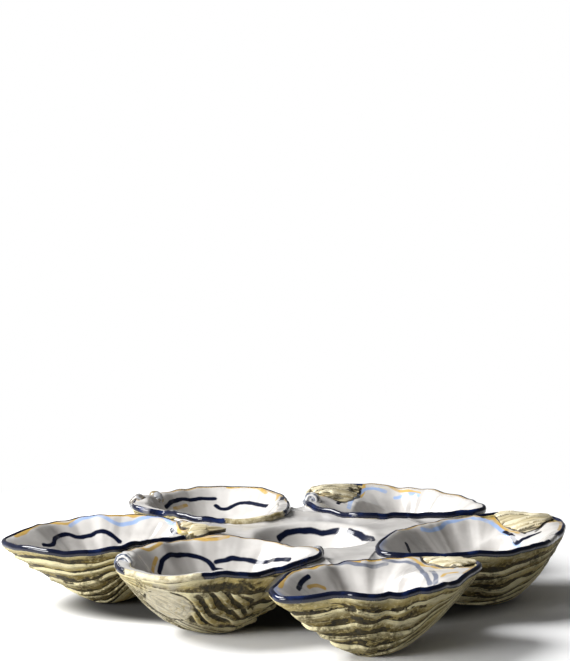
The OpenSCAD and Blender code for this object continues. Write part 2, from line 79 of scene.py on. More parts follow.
class Graph:
    def __init__(self, tree):
        self.tree = tree

    def node(self, kind, settings=None, values=None):
        made = self.tree.nodes.new(kind)
        for name, value in (settings or {}).items():
            setattr(made, name, value)
        for name, value in (values or {}).items():
            if isinstance(value, Wire):
                self.tree.links.new(value.socket, made.inputs[name])
            else:
                made.inputs[name].default_value = value
        shown = [socket for socket in made.outputs if socket.enabled]
        return Wire(self, shown[0]) if shown else None

    def noise(self, place, size, detail=2.0, rough=0.5):  # size in millimetres
        return self.node("ShaderNodeTexNoise", None, {
            "Vector": place, "Scale": 1 / (size * mm), "Detail": detail, "Roughness": rough})

    def swing(self, place, *kind):  # noise from -1 to 1
        return (self.noise(place, *kind) - 0.5) * 2

    def patches(self, place, size, detail, rough, low, high):  # noise as a mask
        return self.noise(place, size, detail, rough).between(low, high)

    def combine(self, x, y, z):
        return self.node("ShaderNodeCombineXYZ", None, {"X": x, "Y": y, "Z": z})

    def vector(self, operation, first, second):
        return self.node("ShaderNodeVectorMath", {"operation": operation}, {0: first, 1: second})

    def length(self, vector):
        return self.node("ShaderNodeVectorMath", {"operation": "LENGTH"}, {0: vector}).out("Value")

    def mix(self, factor, first, second):  # colours
        return self.node("ShaderNodeMix", {"data_type": "RGBA"}, {
            0: factor, 6: first if isinstance(first, Wire) else (*first, 1),
            7: second if isinstance(second, Wire) else (*second, 1)})

    def coats(self, palette, colour, *coats):  # a colour under coats, each a mask and its colour's name
        for mask, name in coats:
            colour = self.mix(mask, colour, palette[name])
        return colour

    def attribute(self, name, kind="FLOAT"):
        if self.tree.bl_idname == "ShaderNodeTree":
            output = "Fac" if kind == "FLOAT" else "Vector"
            return self.node("ShaderNodeAttribute", {"attribute_name": name}).out(output)
        return self.node("GeometryNodeInputNamedAttribute", {"data_type": kind}, {"Name": name})


def emptyGraph(owner):
    owner.use_nodes = True
    owner.node_tree.nodes.clear()
    return Graph(owner.node_tree)


def newMaterial(name):
    material = bpy.data.materials.new(name)
    graph = emptyGraph(material)
    return material, graph, graph.node("ShaderNodeTexCoord").out("Object")


def finishMaterial(graph, palette, colour, rough, *bumps):  # bumps: height, distance in mm, strength
    values = {"Base Color": colour, "Roughness": rough, "Specular IOR Level": palette["gloss"]}
    for height, distance, strength in bumps:
        inputs = {"Height": height, "Distance": distance * mm, "Strength": strength}
        if "Normal" in values:
            inputs["Normal"] = values["Normal"]
        values["Normal"] = graph.node("ShaderNodeBump", None, inputs)
    shader = graph.node("ShaderNodeBsdfPrincipled", None, values)
    graph.node("ShaderNodeOutputMaterial", None, {"Surface": shader})


def newTree(name, inputs):  # a Geometry Nodes tree with named inputs, all of them numbers
    tree = bpy.data.node_groups.new(name, "GeometryNodeTree")
    for way in ("INPUT", "OUTPUT"):
        tree.interface.new_socket("Geometry", in_out=way, socket_type="NodeSocketGeometry")
    for label, value in inputs.items():
        socket = tree.interface.new_socket(label, in_out="INPUT", socket_type="NodeSocketFloat")
        socket.default_value = value
    graph = Graph(tree)
    return tree, graph, graph.node("NodeGroupInput")


def endTree(graph, geometry, material):
    real = graph.node("GeometryNodeRealizeInstances", None, {"Geometry": geometry})
    painted = graph.node("GeometryNodeSetMaterial", None, {"Geometry": real, "Material": material})
    graph.node("NodeGroupOutput", None, {"Geometry": painted})


def addObject(name, data):
    added = bpy.data.objects.new(name, data)
    bpy.context.scene.collection.objects.link(added)
    return added


def grow(name, mesh, tree, values):  # runs a tree on a mesh and keeps the result as a plain mesh
    source = addObject(name + "Source", mesh)
    modifier = source.modifiers.new("grow", "NODES")
    modifier.node_group = tree
    for socket in tree.interface.items_tree:
        if socket.in_out == "INPUT" and socket.name != "Geometry":
            modifier[socket.identifier] = values.get(socket.name, socket.default_value)
    evaluated = source.evaluated_get(bpy.context.evaluated_depsgraph_get())
    grown = bpy.data.meshes.new_from_object(evaluated)
    bpy.data.objects.remove(source)
    return grown


def keepPiece(name, mesh, material, slot, *nodes):
    mesh.name = name
    mesh.materials.clear()
    mesh.materials.append(material)
    mesh.shade_smooth()
    piece = addObject(name, mesh)
    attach(piece, "root")
    if nodes:
        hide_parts(*nodes)


# The plate's measures, as the clay and glaze parts have them

plate = {
    "rimHeight": 42, "rimRise": 10, "layout": (1, 2.3),
    "clayFloor": 7, "footShare": 0.14, "roundingPower": 0.5, "cupFuller": 0.15,
    "lineWidth": 3.6, "lineHeight": 3.4, "lineInnerHeight": 1, "lineTuck": 0.5,
    "glazeThickness": 0.8, "landWidth": 0.8, "flapWidth": 10, "landBlend": 0.01,
    "shelfShares": (0.34, 0.6), "shelfFade": 4, "shelfRise": 0.9,
}
shells = {
    "left": {
        "place": (-0.785, 0.023), "turn": 8, "length": 130, "fill": 1.0,
        "outline": [.92, .80, .84, .82, .74, .82, .86, .85, 1.03, .95, .84, .72, .65, .56, .54, .70],
        "lifts": [.1, .05, -.1, .05, .1, 0, -.1, .05, -.15, -.1, -.15, -.1, .05, .1, -.05, .05],
        "lands": [1, .6, .1, 0, 0, 0, 0, 0, 0, 0, 0, 0, 0, 0, .1, .6],
        "foot": (-0.06, 0), "belly": [1.7, 1.6, 1.35, 1.6], "shelf": 0},
    "front_left": {
        "place": (-0.292, -0.446), "turn": 185, "length": 118, "fill": 0.908,
        "outline": [.96, 1.04, .95, .90, .77, .78, .76, .87, 1.02, .85, .90, .85, .83, .84, .79, .90],
        "lifts": [.1, -.05, -.1, .05, .1, -.05, -.1, .1, .2, 0, -.1, .05, .1, -.05, .1, .1],
        "lands": [.5, .4, .3, .3, .2, 0, 0, .1, .4, .1, 0, 0, 0, 0, 0, .1],
        "foot": (0.02, 0.05), "belly": [2, 2.2, 1.6, 2], "shelf": 0},
    "front_right": {
        "place": (0.385, -0.846), "turn": 30, "length": 132, "fill": 1.015,
        "outline": [1.02, .86, .79, .64, .68, .66, .76, .87, .97, .66, .59, .48, .50, .58, .64, .80],
        "lifts": [.2, .1, 0, .05, -.05, .05, .05, -.05, -.2, .1, .05, -.1, 0, .05, .1, .2],
        "lands": [.9, .7, .3, 0, 0, 0, 0, 0, .1, 0, 0, 0, 0, 0, .1, .4],
        "foot": (-0.08, 0), "belly": [1.85, 1.5, 1.3, 1.4], "shelf": 1},
    "right": {
        "place": (0.862, 0), "turn": 38, "length": 142, "fill": 1.092,
        "outline": [.96, .92, .73, .62, .56, .61, .66, .81, 1.05, .86, .76, .68, .64, .66, .72, .85],
        "lifts": [.2, .1, .05, 0, .05, -.05, .05, .1, 0, -.05, .05, -.05, -.05, .05, .1, .2],
        "lands": [.9, 1, .6, .1, 0, 0, 0, 0, .1, 0, 0, 0, 0, 0, .1, .4],
        "foot": (0.05, -0.05), "belly": [2.3, 1.8, 1.6, 2], "shelf": 0.8},
    "back_right": {
        "place": (0.569, 0.769), "turn": 150, "length": 132, "fill": 1.015,
        "outline": [1.00, .96, .91, .82, .83, .71, .69, .82, .93, .78, .72, .62, .62, .72, .82, .92],
        "lifts": [.2, .1, 0, -.05, .05, 0, -.05, .05, .15, 0, -.05, .05, .05, -.05, .05, .15],
        "lands": [1, .6, .2, 0, 0, 0, 0, 0, .1, 0, 0, 0, 0, .1, .4, .9],
        "foot": (0, 0), "belly": [1.9, 1.6, 1.5, 1.6], "shelf": 0.8},
    "back_left": {
        "place": (-0.354, 0.677), "turn": 170, "length": 116, "fill": 0.892,
        "outline": [.92, .90, .66, .68, .76, .82, .94, .95, .89, .88, .97, 1.04, 1.08, 1.04, .89, .86],
        "lifts": [.15, .1, -.05, .05, 0, -.05, .05, .05, .1, -.05, 0, .05, -.05, 0, .05, .1],
        "lands": [.6, .5, .1, 0, 0, 0, .1, .3, .4, .3, .1, 0, 0, 0, .1, .4],
        "foot": (0, 0), "belly": [1.8, 1.6, 1.6, 1.6], "shelf": 0},
}
ringSize = max(shell["length"] / shell["fill"] for shell in shells.values())


def between(a, b, c, d, part):  # smooth value a part of the way from b to c
    bend, twist = a - 2.5 * b + 2 * c - d / 2, 1.5 * (b - c) + (d - a) / 2
    return b + part * (c - a) / 2 + part**2 * bend + part**3 * twist


def tableAt(table, share):  # smooth value of a closed table, a share of a turn from its first entry
    values = np.asarray(table, float)
    spot = (np.asarray(share, float) % 1) * len(values)
    knot = np.floor(spot).astype(int)
    return between(*(values[(knot + step) % len(values)] for step in (-1, 0, 1, 2)), spot - knot)


def lineThrough(knots, count):  # a smooth open line through knots
    knots = np.array(knots, float)
    padded = np.vstack([2 * knots[0] - knots[1], knots, 2 * knots[-1] - knots[-2]])
    spot = np.linspace(0, len(knots) - 1, count)
    step = np.minimum(spot.astype(int), len(knots) - 2)
    return between(*(padded[step + shift] for shift in range(4)), (spot - step)[:, None])


def smooth(low, high, value):
    part = np.clip((np.asarray(value, float) - low) / (high - low), 0, 1)
    return part * part * (3 - 2 * part)


def softLeast(first, second, blend):  # the lower of two heights, rounded where they meet
    return -blend * np.logaddexp(-first / blend, -second / blend)


def roughness(points, size, depth=2):  # fractal noise at points, about -1 to 1
    return np.array([noise.fractal(Vector(p) / size, 1.0, 2.0, depth) for p in points])


def turned(x, y, angle):
    return x * math.cos(angle) - y * math.sin(angle), x * math.sin(angle) + y * math.cos(angle)


def circlePoint(radius, angle, height=0.0, middle=(0, 0)):
    x, y = middle[0] + radius * np.cos(angle), middle[1] + radius * np.sin(angle)
    return np.stack(np.broadcast_arrays(x, y, height), -1)


rimWaves = {"inwards": 1.7, "down": 1.5, "size": 15, "circle": 50, "gain": 0.8, "apart": 90, "steps": 361}
waveShares = np.linspace(0, 1, rimWaves["steps"])


def rimWave(number, shift):  # 0 to 1 along a rim, from noise on a circle that is the shell's own
    loop = circlePoint(rimWaves["circle"], fullTurn * waveShares, rimWaves["circle"] * number + shift)
    return np.clip(0.5 + rimWaves["gain"] * roughness(loop, rimWaves["size"]), 0, 1)


for number, shell in enumerate(shells.values(), 1):
    shell["waves"] = {"inwards": rimWave(number, 0), "down": rimWave(number, rimWaves["apart"])}


def waveAt(shell, way, share):  # depth of the rim's small waves
    return rimWaves[way] * np.interp(np.asarray(share, float) % 1, waveShares, shell["waves"][way])


def edgeRadius(shell, share):
    return shell["length"] / 2 * tableAt(shell["outline"], share) - waveAt(shell, "inwards", share)


def edgeHeight(shell, share):
    lift = plate["rimRise"] * tableAt(shell["lifts"], share)
    return plate["rimHeight"] + lift - waveAt(shell, "down", share)


def landOf(shell, share):  # width of the clay between the line and the cup, wide under a flap
    wide = tableAt(shell["lands"], share)
    return plate["landWidth"] + plate["flapWidth"] * (wide + np.sqrt(wide**2 + plate["landBlend"])) / 2


def lipShare(share):  # 0 at the hinge, 1 at the lip
    return (1 - np.cos(fullTurn * share)) / 2


def shellPoint(shell, share, level, radius, height):
    turn, sway = math.radians(shell["turn"]), shell["length"] / 2 * (1 - level)
    x, y = (ringSize * middle - shift + sway * lean for middle, shift, lean in zip(
        shell["place"], plate["layout"], turned(*shell["foot"], turn)))
    return circlePoint(radius, turn + fullTurn * np.asarray(share, float), height, (x, y))


def edgePoint(shell, share, inset, drop):
    return shellPoint(shell, share, 1, edgeRadius(shell, share) - inset, edgeHeight(shell, share) - drop)


def wallPoint(shell, share, level, edge=None):  # edge: other reach of the rim from the shell's middle
    kept = level ** plate["roundingPower"]
    edge = edgeRadius(shell, share) if edge is None else edge
    roundRadius = shell["length"] / 2 * np.mean(shell["outline"])
    radius = level * ((edge - plate["lineTuck"]) * kept + roundRadius * (1 - kept))
    rise = (level - plate["footShare"]) / (1 - plate["footShare"])
    height = (edgeHeight(shell, share) - plate["lineHeight"]) * rise ** tableAt(shell["belly"], share)
    return shellPoint(shell, share, level, radius, height)


def cupHeight(shell, share, level):  # the bed of the glaze, with the hinge shelf
    bowl = level ** (tableAt(shell["belly"], share) - plate["cupFuller"])
    shelf = (1 - lipShare(share)) ** plate["shelfFade"] * smooth(*plate["shelfShares"], level)
    shelf = shelf * shell["shelf"] * plate["shelfRise"]
    low = edgeHeight(shell, share) - plate["lineInnerHeight"] - plate["clayFloor"]
    return plate["clayFloor"] + low * (bowl + (1 - bowl) * shelf)


def cupEdge(shell, share):
    return edgeRadius(shell, share) - plate["lineWidth"] - landOf(shell, share)


def offRim(level):  # 0 at the rim, 1 a tenth of the way in
    return smooth(1.0, 0.9, level)


def cupPoint(shell, share, level, lift=0.0):
    return shellPoint(shell, share, level, level * cupEdge(shell, share), cupHeight(shell, share, level) + lift)


lip = {"crestInset": 1.5, "crestRise": 0.1, "rounding": 1.2, "flapStart": 6.4, "flapFull": 8.4}


def glazeReach(shell, share):  # how much of the land the white glaze covers, and how far out it goes
    covered = 1 - smooth(lip["flapStart"], lip["flapFull"], landOf(shell, share))
    crest = edgeRadius(shell, share) - lip["crestInset"]
    return covered, covered * crest + (1 - covered) * cupEdge(shell, share)


def glazePoint(shell, share, level):  # the top of the white glaze, which rolls over the rim except at a flap
    covered, reach = glazeReach(shell, share)
    cupLevel = level * reach / cupEdge(shell, share)
    bowl = cupHeight(shell, share, cupLevel) + plate["glazeThickness"]
    crest = edgeHeight(shell, share) + lip["crestRise"] * (2 * covered - 1)
    height = softLeast(bowl, crest, lip["rounding"])
    return shellPoint(shell, share, np.minimum(cupLevel, 1), level * reach, height)


def ringMesh(name, rings, firstTip, lastTip):  # closed surface from rings of points, in millimetres
    count, total = len(rings[0]), len(rings)
    step = np.arange(count)
    following, last, tip = (step + 1) % count, (total - 1) * count, 0 * step + total * count
    faces = []
    for low in range(0, last, count):
        high = low + count
        faces += np.stack([low + step, low + following, high + following, high + step], -1).tolist()
    faces += np.stack([following, step, tip], -1).tolist()
    faces += np.stack([last + step, last + following, tip + 1], -1).tolist()
    mesh = bpy.data.meshes.new(name)
    mesh.from_pydata((np.concatenate([*rings, [firstTip, lastTip]]) * mm).tolist(), [], faces)
    mesh.update()
    return mesh


def setAttribute(mesh, name, values, rest=0.0):  # the mesh's last points take rest where values are short
    values = np.asarray(values, np.float32)
    filled = np.full((len(mesh.vertices), *values.shape[1:]), rest, np.float32)
    filled[:len(values)] = values
    layer = mesh.attributes.new(name, "FLOAT" if values.ndim == 1 else "FLOAT_VECTOR", "POINT")
    layer.data.foreach_set("value" if values.ndim == 1 else "vector", filled.ravel())


# Clay outside: growth plates

growth = {
    "around": 560, "wallRings": 146, "wallEase": 0.9, "landRings": 14, "lineShare": 0.3, "landShort": 0.25,
    "bedLevels": (1, 0.93, 0.8, 0.66, 0.6, 0.55, 0.5, 0.45, 0.4, 0.34, 0.25, 0.12), "bedDrop": 1.6,
    "umboShare": 0.90, "rimSteps": 720, "outlineBlur": 0.25, "fullSpacing": 6.0, "footFade": 5,
    "major": (1.4, 0.88), "minor": (1.3, 0.85), "ridgeBase": 0.3, "leastSize": 0.3, "moreSize": 0.8,
    "bendSquash": (1.0, 1.0, 1.875), "seedWay": (1.0, 0.6, -0.4), "plateJump": (0.37, 0.23, 0.0),
    "fluteCalm": 0.8, "scarCalm": 0.6, "scarEdge": (1.15, 0.85), "fluteEdge": (1.1, 0.6),
    "pitDeep": 1.1, "pitBand": 0.03, "pitEnds": 0.03, "flapDrop": 0.8, "flapGrain": 0.35, "flapLump": 0.4,
    "flapStart": (0, 0.12), "flapEnd": (1.0, 0.93), "bareStart": (0.3, 0.4), "bareEnd": (1.0, 0.95),
    "wallTop": (0.995, 0.97),
    "fluteSpacing": 8.5, "fluteLean": 0.85, "fluteStep": 0.95, "fluteSway": 2.4, "fluteSize": 16,
    "streakRound": 46, "streakAcross": 340, "seedStep": 0.31, "hairlines": 9, "noScar": 9.0,
}
plateInputs = {  # the tree's: plates from umbo to rim, steps in millimetres, shifts in plates
    "Plates": 1 / 0.075, "Shift": 0.1, "Step": 1.9, "Hinge step": 0.3, "Minor plates": 2.6, "Minor step": 0.2,
    "Bend": 0.4, "Lens": 0.75, "Fray": 0.03, "Lump": 0.8, "Grain": 0.12, "Seed": 0.0}
growthNoise = {  # size in millimetres, detail, roughness, and the ends of a mask
    "Bend": (75, 2.0, 0.4), "Lens": (40, 1.0, 0.4), "Fray": (5.0, 2.0, 0.6), "Lump": (19, 2.0, 0.5),
    "Grain": (2.0, 3.0, 0.65), "size": (34, 1.0, 0.5, 0.34, 0.6), "tone": (42, 2.0, 0.5, 0.36, 0.62),
    "few": (20, 1.0, 0.5, 0.45, 0.6), "pit": (3.4, 2.0, 0.5, 0.44, 0.6)}
shellWear = {  # what is particular to a shell: size of its plates, smooth scar, slanting flutes and pitted band
    "left": {"step": 0.9}, "right": {"step": 1.0}, "back_right": {"step": 0.9}, "back_left": {"step": 1.0},
    "front_left": {"step": 1.1, "scar": (0.136, 0.81, 15, 12), "flutes": (0.235, 0.76, 27, 15)},
    "front_right": {"step": 1.0, "pits": (0.50, 0.81, 0.885)},
}


def growthOf(shell, share, level):  # 0 at the umbo by the hinge, 1 at the rim, and the spacing of the plates
    even = np.arange(growth["rimSteps"]) / growth["rimSteps"]
    waves = np.fft.rfft(edgeRadius(shell, even))
    waves *= np.exp(-0.5 * (growth["outlineBlur"] * np.arange(len(waves))) ** 2)  # calmer than the rim itself
    calmEdge = np.fft.irfft(waves, len(even))
    rim = wallPoint(shell, even, 1.0, calmEdge)[:, :2]
    middle = shellPoint(shell, 0.0, 1, 0.0, 0.0)[:2]
    umbo = middle + growth["umboShare"] * (rim[0] - middle)
    angles, reach = np.arctan2(*(rim - umbo).T[::-1]), np.hypot(*(rim - umbo).T)
    order = np.argsort(angles)
    edge = np.interp(share, even, calmEdge, period=1)
    away = np.concatenate([wallPoint(shell, share, part, edge)[:, :2] for part in level]) - umbo
    outline = np.interp(np.arctan2(away[:, 1], away[:, 0]), angles[order], reach[order], period=fullTurn)
    return np.hypot(*away.T) / outline, outline / plateInputs["Plates"]


def plateStep(phase, rise, edge):  # a plate's profile: it rises towards its edge and drops off there
    return phase ** rise * phase.between(1.0, edge)


def makePlatesTree(material):
    tree, graph, inputs = newTree("growthPlates", plateInputs)
    read, mark = inputs.out, graph.attribute
    seed = graph.combine(*(read("Seed") * part for part in growth["seedWay"]))
    place = graph.vector("ADD", graph.node("GeometryNodeInputPosition"), seed)
    squashed, streak = graph.vector("MULTIPLY", place, growth["bendSquash"]), mark("streak", "FLOAT_VECTOR")
    count = (mark("age") - 1) * read("Plates") - read("Shift")
    for label, where in (("Bend", squashed), ("Lens", streak), ("Fray", place)):
        count = count + graph.swing(where, *growthNoise[label]) * read(label)
    number = count.whole()
    jump = graph.combine(*(number * part for part in growth["plateJump"]))
    own = graph.vector("ADD", place, jump)  # another spot of the noise for each plate
    size = graph.patches(own, *growthNoise["size"]) * growth["moreSize"] + growth["leastSize"]
    tone, few = graph.patches(own, *growthNoise["tone"]), graph.patches(streak, *growthNoise["few"])
    major = plateStep(count.fraction(), *growth["major"]) * size
    fine = (count * read("Minor plates")).fraction()
    minor = plateStep(fine, *growth["minor"]) * read("Minor step") * few
    lump, grain = (graph.swing(place, *growthNoise[label]) for label in ("Lump", "Grain"))
    pit = graph.patches(place, *growthNoise["pit"]) * mark("pits")
    calm, flute = mark("calm"), mark("flute")
    reach = (read("Hinge step") + (1 - read("Hinge step")) * mark("lipward")) * mark("spread")
    ridges = (major + minor - growth["ridgeBase"]) * read("Step") * reach
    ridges = ridges * (1 - calm) * (1 - flute * growth["fluteCalm"])
    rough = lump * read("Lump") * (1 - calm * growth["scarCalm"]) + grain * read("Grain")
    rough = rough - pit * growth["pitDeep"] + flute * mark("fluteWave") * growth["fluteStep"]
    flap = mark("bare") * (grain * growth["flapGrain"] + lump * growth["flapLump"])
    push = ((ridges + rough) * mark("wall") + flap) * mm
    normal = graph.node("GeometryNodeInputNormal")
    offset = graph.node("ShaderNodeVectorMath", {"operation": "SCALE"}, {0: normal, "Scale": push})
    moved = graph.node("GeometryNodeSetPosition", None, {"Geometry": inputs, "Offset": offset})
    for name, value in (("count", count), ("size", size), ("tone", tone), ("pit", pit)):
        moved = graph.node("GeometryNodeStoreNamedAttribute", {"data_type": "FLOAT", "domain": "POINT"}, {
            "Geometry": moved, "Name": name, "Value": value})
    endTree(graph, moved, material)
    return tree


def spotOn(shell, points, turn, level, wide, high):  # how far along the wall and up it, and 1 at the edge
    away = points - wallPoint(shell, turn, level)
    side = wallPoint(shell, turn + 0.01, level) - wallPoint(shell, turn - 0.01, level)
    along = away @ (side / np.linalg.norm(side))
    up = np.sign(away[:, 2]) * np.sqrt(np.maximum(0, (away**2).sum(1) - along**2))
    return along, up, np.hypot(along / wide, up / high)


def makeShellBody(name, shell, tree, material):
    share = np.arange(growth["around"]) / growth["around"]
    foot, lineShare, wear = plate["footShare"], growth["lineShare"], shellWear[name]
    levels = foot + (1 - foot) * np.linspace(0, 1, growth["wallRings"]) ** growth["wallEase"]
    rings = [wallPoint(shell, share, level) for level in levels]
    land = landOf(shell, share)
    flap = smooth(lip["flapStart"], lip["flapFull"], land)
    bare = [np.zeros(len(levels) * len(share))]
    for part in np.linspace(0, 1, growth["landRings"])[1:]:  # under the line, then over the land
        under, across = min(1, part / lineShare), max(0, (part - lineShare) / (1 - lineShare))
        inset = plate["lineTuck"] + (plate["lineWidth"] - plate["lineTuck"]) * under
        drop = plate["lineHeight"] + (plate["lineInnerHeight"] - plate["lineHeight"]) * under
        inside = smooth(*growth["flapStart"], across) * smooth(*growth["flapEnd"], across)
        sunk = growth["flapDrop"] * flap * inside
        rings.append(edgePoint(shell, share, inset + across * (land - growth["landShort"]), drop + sunk))
        bare.append(flap * smooth(*growth["bareStart"], part) * smooth(*growth["bareEnd"], part))
    for level in growth["bedLevels"]:
        rings.append(cupPoint(shell, share, level, -growth["bedDrop"] * offRim(level)))
    body = ringMesh(name, rings, shellPoint(shell, 0.0, foot, 0.0, 0.0), cupPoint(shell, 0.0, 0.0))
    points = np.concatenate(rings)
    ringLevels = [*levels] + [1.0] * (len(rings) - len(levels))
    allLevels, allShares = np.repeat(ringLevels, len(share)), np.tile(share, len(rings))
    age, spacing = growthOf(shell, share, ringLevels)
    marks = {
        "age": age, "spread": np.clip(spacing / growth["fullSpacing"], 0, 1), "lipward": lipShare(allShares),
        "wall": smooth(0, growth["footFade"], points[:, 2]) * smooth(*growth["wallTop"], allLevels),
        "bare": np.concatenate(bare), "scarReach": np.full(len(points), growth["noScar"])}  # 1 at a scar's edge
    marks.update(zip(("calm", "pits", "flute", "fluteWave"), np.zeros((4, len(points)))))
    if "scar" in wear:
        marks["scarReach"] = spotOn(shell, points, *wear["scar"])[2]
        marks["calm"] = smooth(*growth["scarEdge"], marks["scarReach"])
    if "flutes" in wear:
        along, up, reach = spotOn(shell, points, *wear["flutes"])
        marks["flute"] = smooth(*growth["fluteEdge"], reach) * (1 - marks["calm"])
        held = marks["flute"] > 0
        turns = fullTurn * (along + growth["fluteLean"] * up)[held] / growth["fluteSpacing"]
        sway = growth["fluteSway"] * roughness(points[held], growth["fluteSize"])
        marks["fluteWave"][held] = np.sin(turns + sway)
    if "pits" in wear:
        (first, last, level), fade = wear["pits"], growth["pitEnds"]
        inside = smooth(first - fade, first + 0.02, allShares) * smooth(last + fade, last - 0.02, allShares)
        marks["pits"] = inside * smooth(growth["pitBand"], 0.0, np.abs(allLevels - level))
    seed = growth["seedStep"] * len(name)
    streak = circlePoint(growth["streakRound"], fullTurn * allShares, growth["streakAcross"] * age)
    marks["streak"] = streak * mm + seed
    for label, values in marks.items():
        setAttribute(body, label, values)
    grown = grow(name, body, tree, {"Step": plateInputs["Step"] * wear["step"], "Seed": seed})
    heights = np.empty(len(grown.vertices) * 3)
    grown.vertices.foreach_get("co", heights)
    heights[2::3] = np.maximum(heights[2::3], 0)  # the foot stands flat on the table
    grown.vertices.foreach_set("co", heights)
    keepPiece(name + "OysterShell", grown, material, "clay", name + "_shell")


# White glaze inside, with the painted lines as distances to their strokes

paint = {  # strokes as turn share from the hinge and level, 1 at the glaze's edge
    "left": {
        "sky": [[(.34, .89), (.32, .93), (.3, .95), (.28, .965), (.265, .93), (.25, .885), (.23, .85),
                 (.21, .855), (.195, .87), (.185, .91), (.17, .95)]],
        "navy": [[(.46, .745), (.45, .72), (.43, .725), (.405, .775), (.375, .795), (.355, .79), (.335, .75),
                  (.305, .735), (.285, .765), (.26, .76), (.24, .72), (.22, .665)]],
        "gold": [[(.48, .95), (.465, .94), (.445, .98)],
                 [(.375, .98), (.36, .935), (.34, .92), (.32, .965)],
                 [(.28, .99), (.26, .96), (.24, .98), (.215, .965), (.2, .94), (.18, .985), (.15, .97),
                  (.11, .98)]]},
    "front_left": {
        "navy": [[(.935, .705), (.915, .76), (.9, .8), (.875, .825), (.845, .825), (.805, .805), (.775, .755),
                  (.76, .7), (.75, .65), (.73, .64)],
                 [(.745, .72), (.72, .735), (.7, .76), (.66, .755), (.63, .75), (.6, .77), (.56, .79),
                  (.525, .77)]],
        "gold": [[(.935, .955), (.92, .91), (.9, .915), (.88, .95)],
                 [(.79, .965), (.765, .92), (.74, .915), (.72, .945)],
                 [(.915, .825), (.935, .775), (.955, .725)]]},
    "front_right": {
        "wash": [[(.44, 1), (.49, .97), (.53, .9)]],
        "grey": [[(.26, .985), (.235, .945), (.205, .895), (.17, .855), (.14, .85)]],
        "navy": [[(.36, .85), (.39, .83), (.425, .805)]],
        "gold": [[(.405, .98), (.435, .955), (.455, .935)],
                 [(.385, .755), (.36, .75), (.34, .71)],
                 [(.385, .985), (.35, .985), (.33, .955), (.3, .985), (.26, .985), (.23, .985), (.205, .945)]]},
    "right": {
        "wash": [[(.45, 1), (.5, .99), (.54, 1)]],
        "sky": [[(.3, .885), (.275, .855), (.235, .86), (.2, .9), (.16, .905), (.13, .885)]],
        "navy": [[(.415, .81), (.425, .775), (.435, .75)]]},
    "back_right": {
        "sky": [[(.89, .84), (.86, .82)],
                [(.835, .775), (.815, .82), (.785, .855), (.76, .85)]],
        "gold": [[(.9, .98), (.877, .98), (.855, .965), (.83, .9), (.8, .89), (.76, .875)]]},
    "back_left": {
        "navy": [[(.948, .745), (.91, .8), (.875, .835), (.833, .825), (.805, .82), (.78, .825)],
                 [(.777, .74), (.767, .705), (.752, .705), (.74, .73), (.725, .77), (.705, .78), (.677, .78),
                  (.635, .79)],
                 [(.6, .97), (.57, .93)]],
        "gold": [[(.917, .73), (.89, .75), (.858, .765)],
                 [(.757, .97), (.738, .97), (.725, .985), (.693, .96), (.667, .925)],
                 [(.635, .96), (.62, .92), (.6, .88)]]},
}
brushes = {  # half the width of a stroke
    "wash": 5.0, "trim": 1.1, "gold": 1.2, "sky": 1.4, "grey": 1.4, "navy": 1.6, "slitShade": 0.9}
trims = {"wide": 0.24, "level": 0.978, "wave": 0.010, "bends": 7}  # the thin gold line under each far rim
# the slitShade strokes paint the shadow in the slit along each leaf's inner edge
hingePaint = {  # strokes by the hinge, in millimetres towards it and to its left
    "left": {
        "sky": [[(24, 43.5), (32, 41), (35, 36), (37, 22), (37.5, 10)]],
        "navy": [[(36, 14), (39, 6)]],
        "slitShade": [[(40, 18.5), (41.5, 9), (48, 1.5)]],
        "gold": [[(38, 19), (39, 12), (41, 5)]]},
    "front_right": {
        "grey": [[(26, 34), (32, 29), (35.5, 23), (36, 15), (33, 5), (29.5, -5), (25, -15)],
                 [(36, 0), (32, -10), (26, -18)]],
        "gold": [[(16, 35), (26, 35.5), (37, 33), (39.5, 26), (38.5, 15), (40.5, 5), (45, -6)],
                 [(33, -14), (37, -12), (41, -15)]],
        "slitShade": [[(45, 25), (41, 17), (43, 5), (47, -5)]]},
    "right": {
        "sky": [[(29, 30.5), (33, 26.5), (35, 21), (34, 14), (31, 7), (29, 0), (27, -9)]],
        "navy": [[(33, 9), (30.5, 2), (28.5, -6), (31.5, -9), (36, -11), (40, -14)]],
        "slitShade": [[(42, 26), (38, 10), (36, -5)],
                 [(41, -10), (54, -8), (64, -5)]],
        "gold": [[(40, 27), (37.5, 18), (35.5, 9), (34, -1)]]},
    "back_right": {
        "sky": [[(30, 13), (33, 4), (36, -8), (37, -22), (34, -28), (26, -31)]],
        "navy": [[(37, 15), (38, 7), (36, 3)]],
        "slitShade": [[(45, -28), (39, -20), (33, -3), (35.5, 10)]],
        "gold": [[(46, -29), (40, -27), (36.5, -20), (34, -10)]]},
}
strokeSteps = 8  # points of a stroke's smooth line for each one given
unpainted = 50.0  # distance, in millimetres, that stands for no stroke nearby


def strokeDistance(points, lines):  # millimetres from each point to the nearest line
    nearest = np.full(len(points), unpainted)
    for line in lines:
        for start, end in zip(line[:-1], line[1:]):
            along = end - start
            part = np.clip((points - start) @ along / max(along @ along, 1e-9), 0, 1)
            nearest = np.minimum(nearest, np.linalg.norm(points - start - part[:, None] * along, axis=1))
    return nearest


def setPaint(mesh, points, lines):  # lines by colour
    for colour in brushes:
        setAttribute(mesh, colour, strokeDistance(points, lines.get(colour, [])), unpainted)


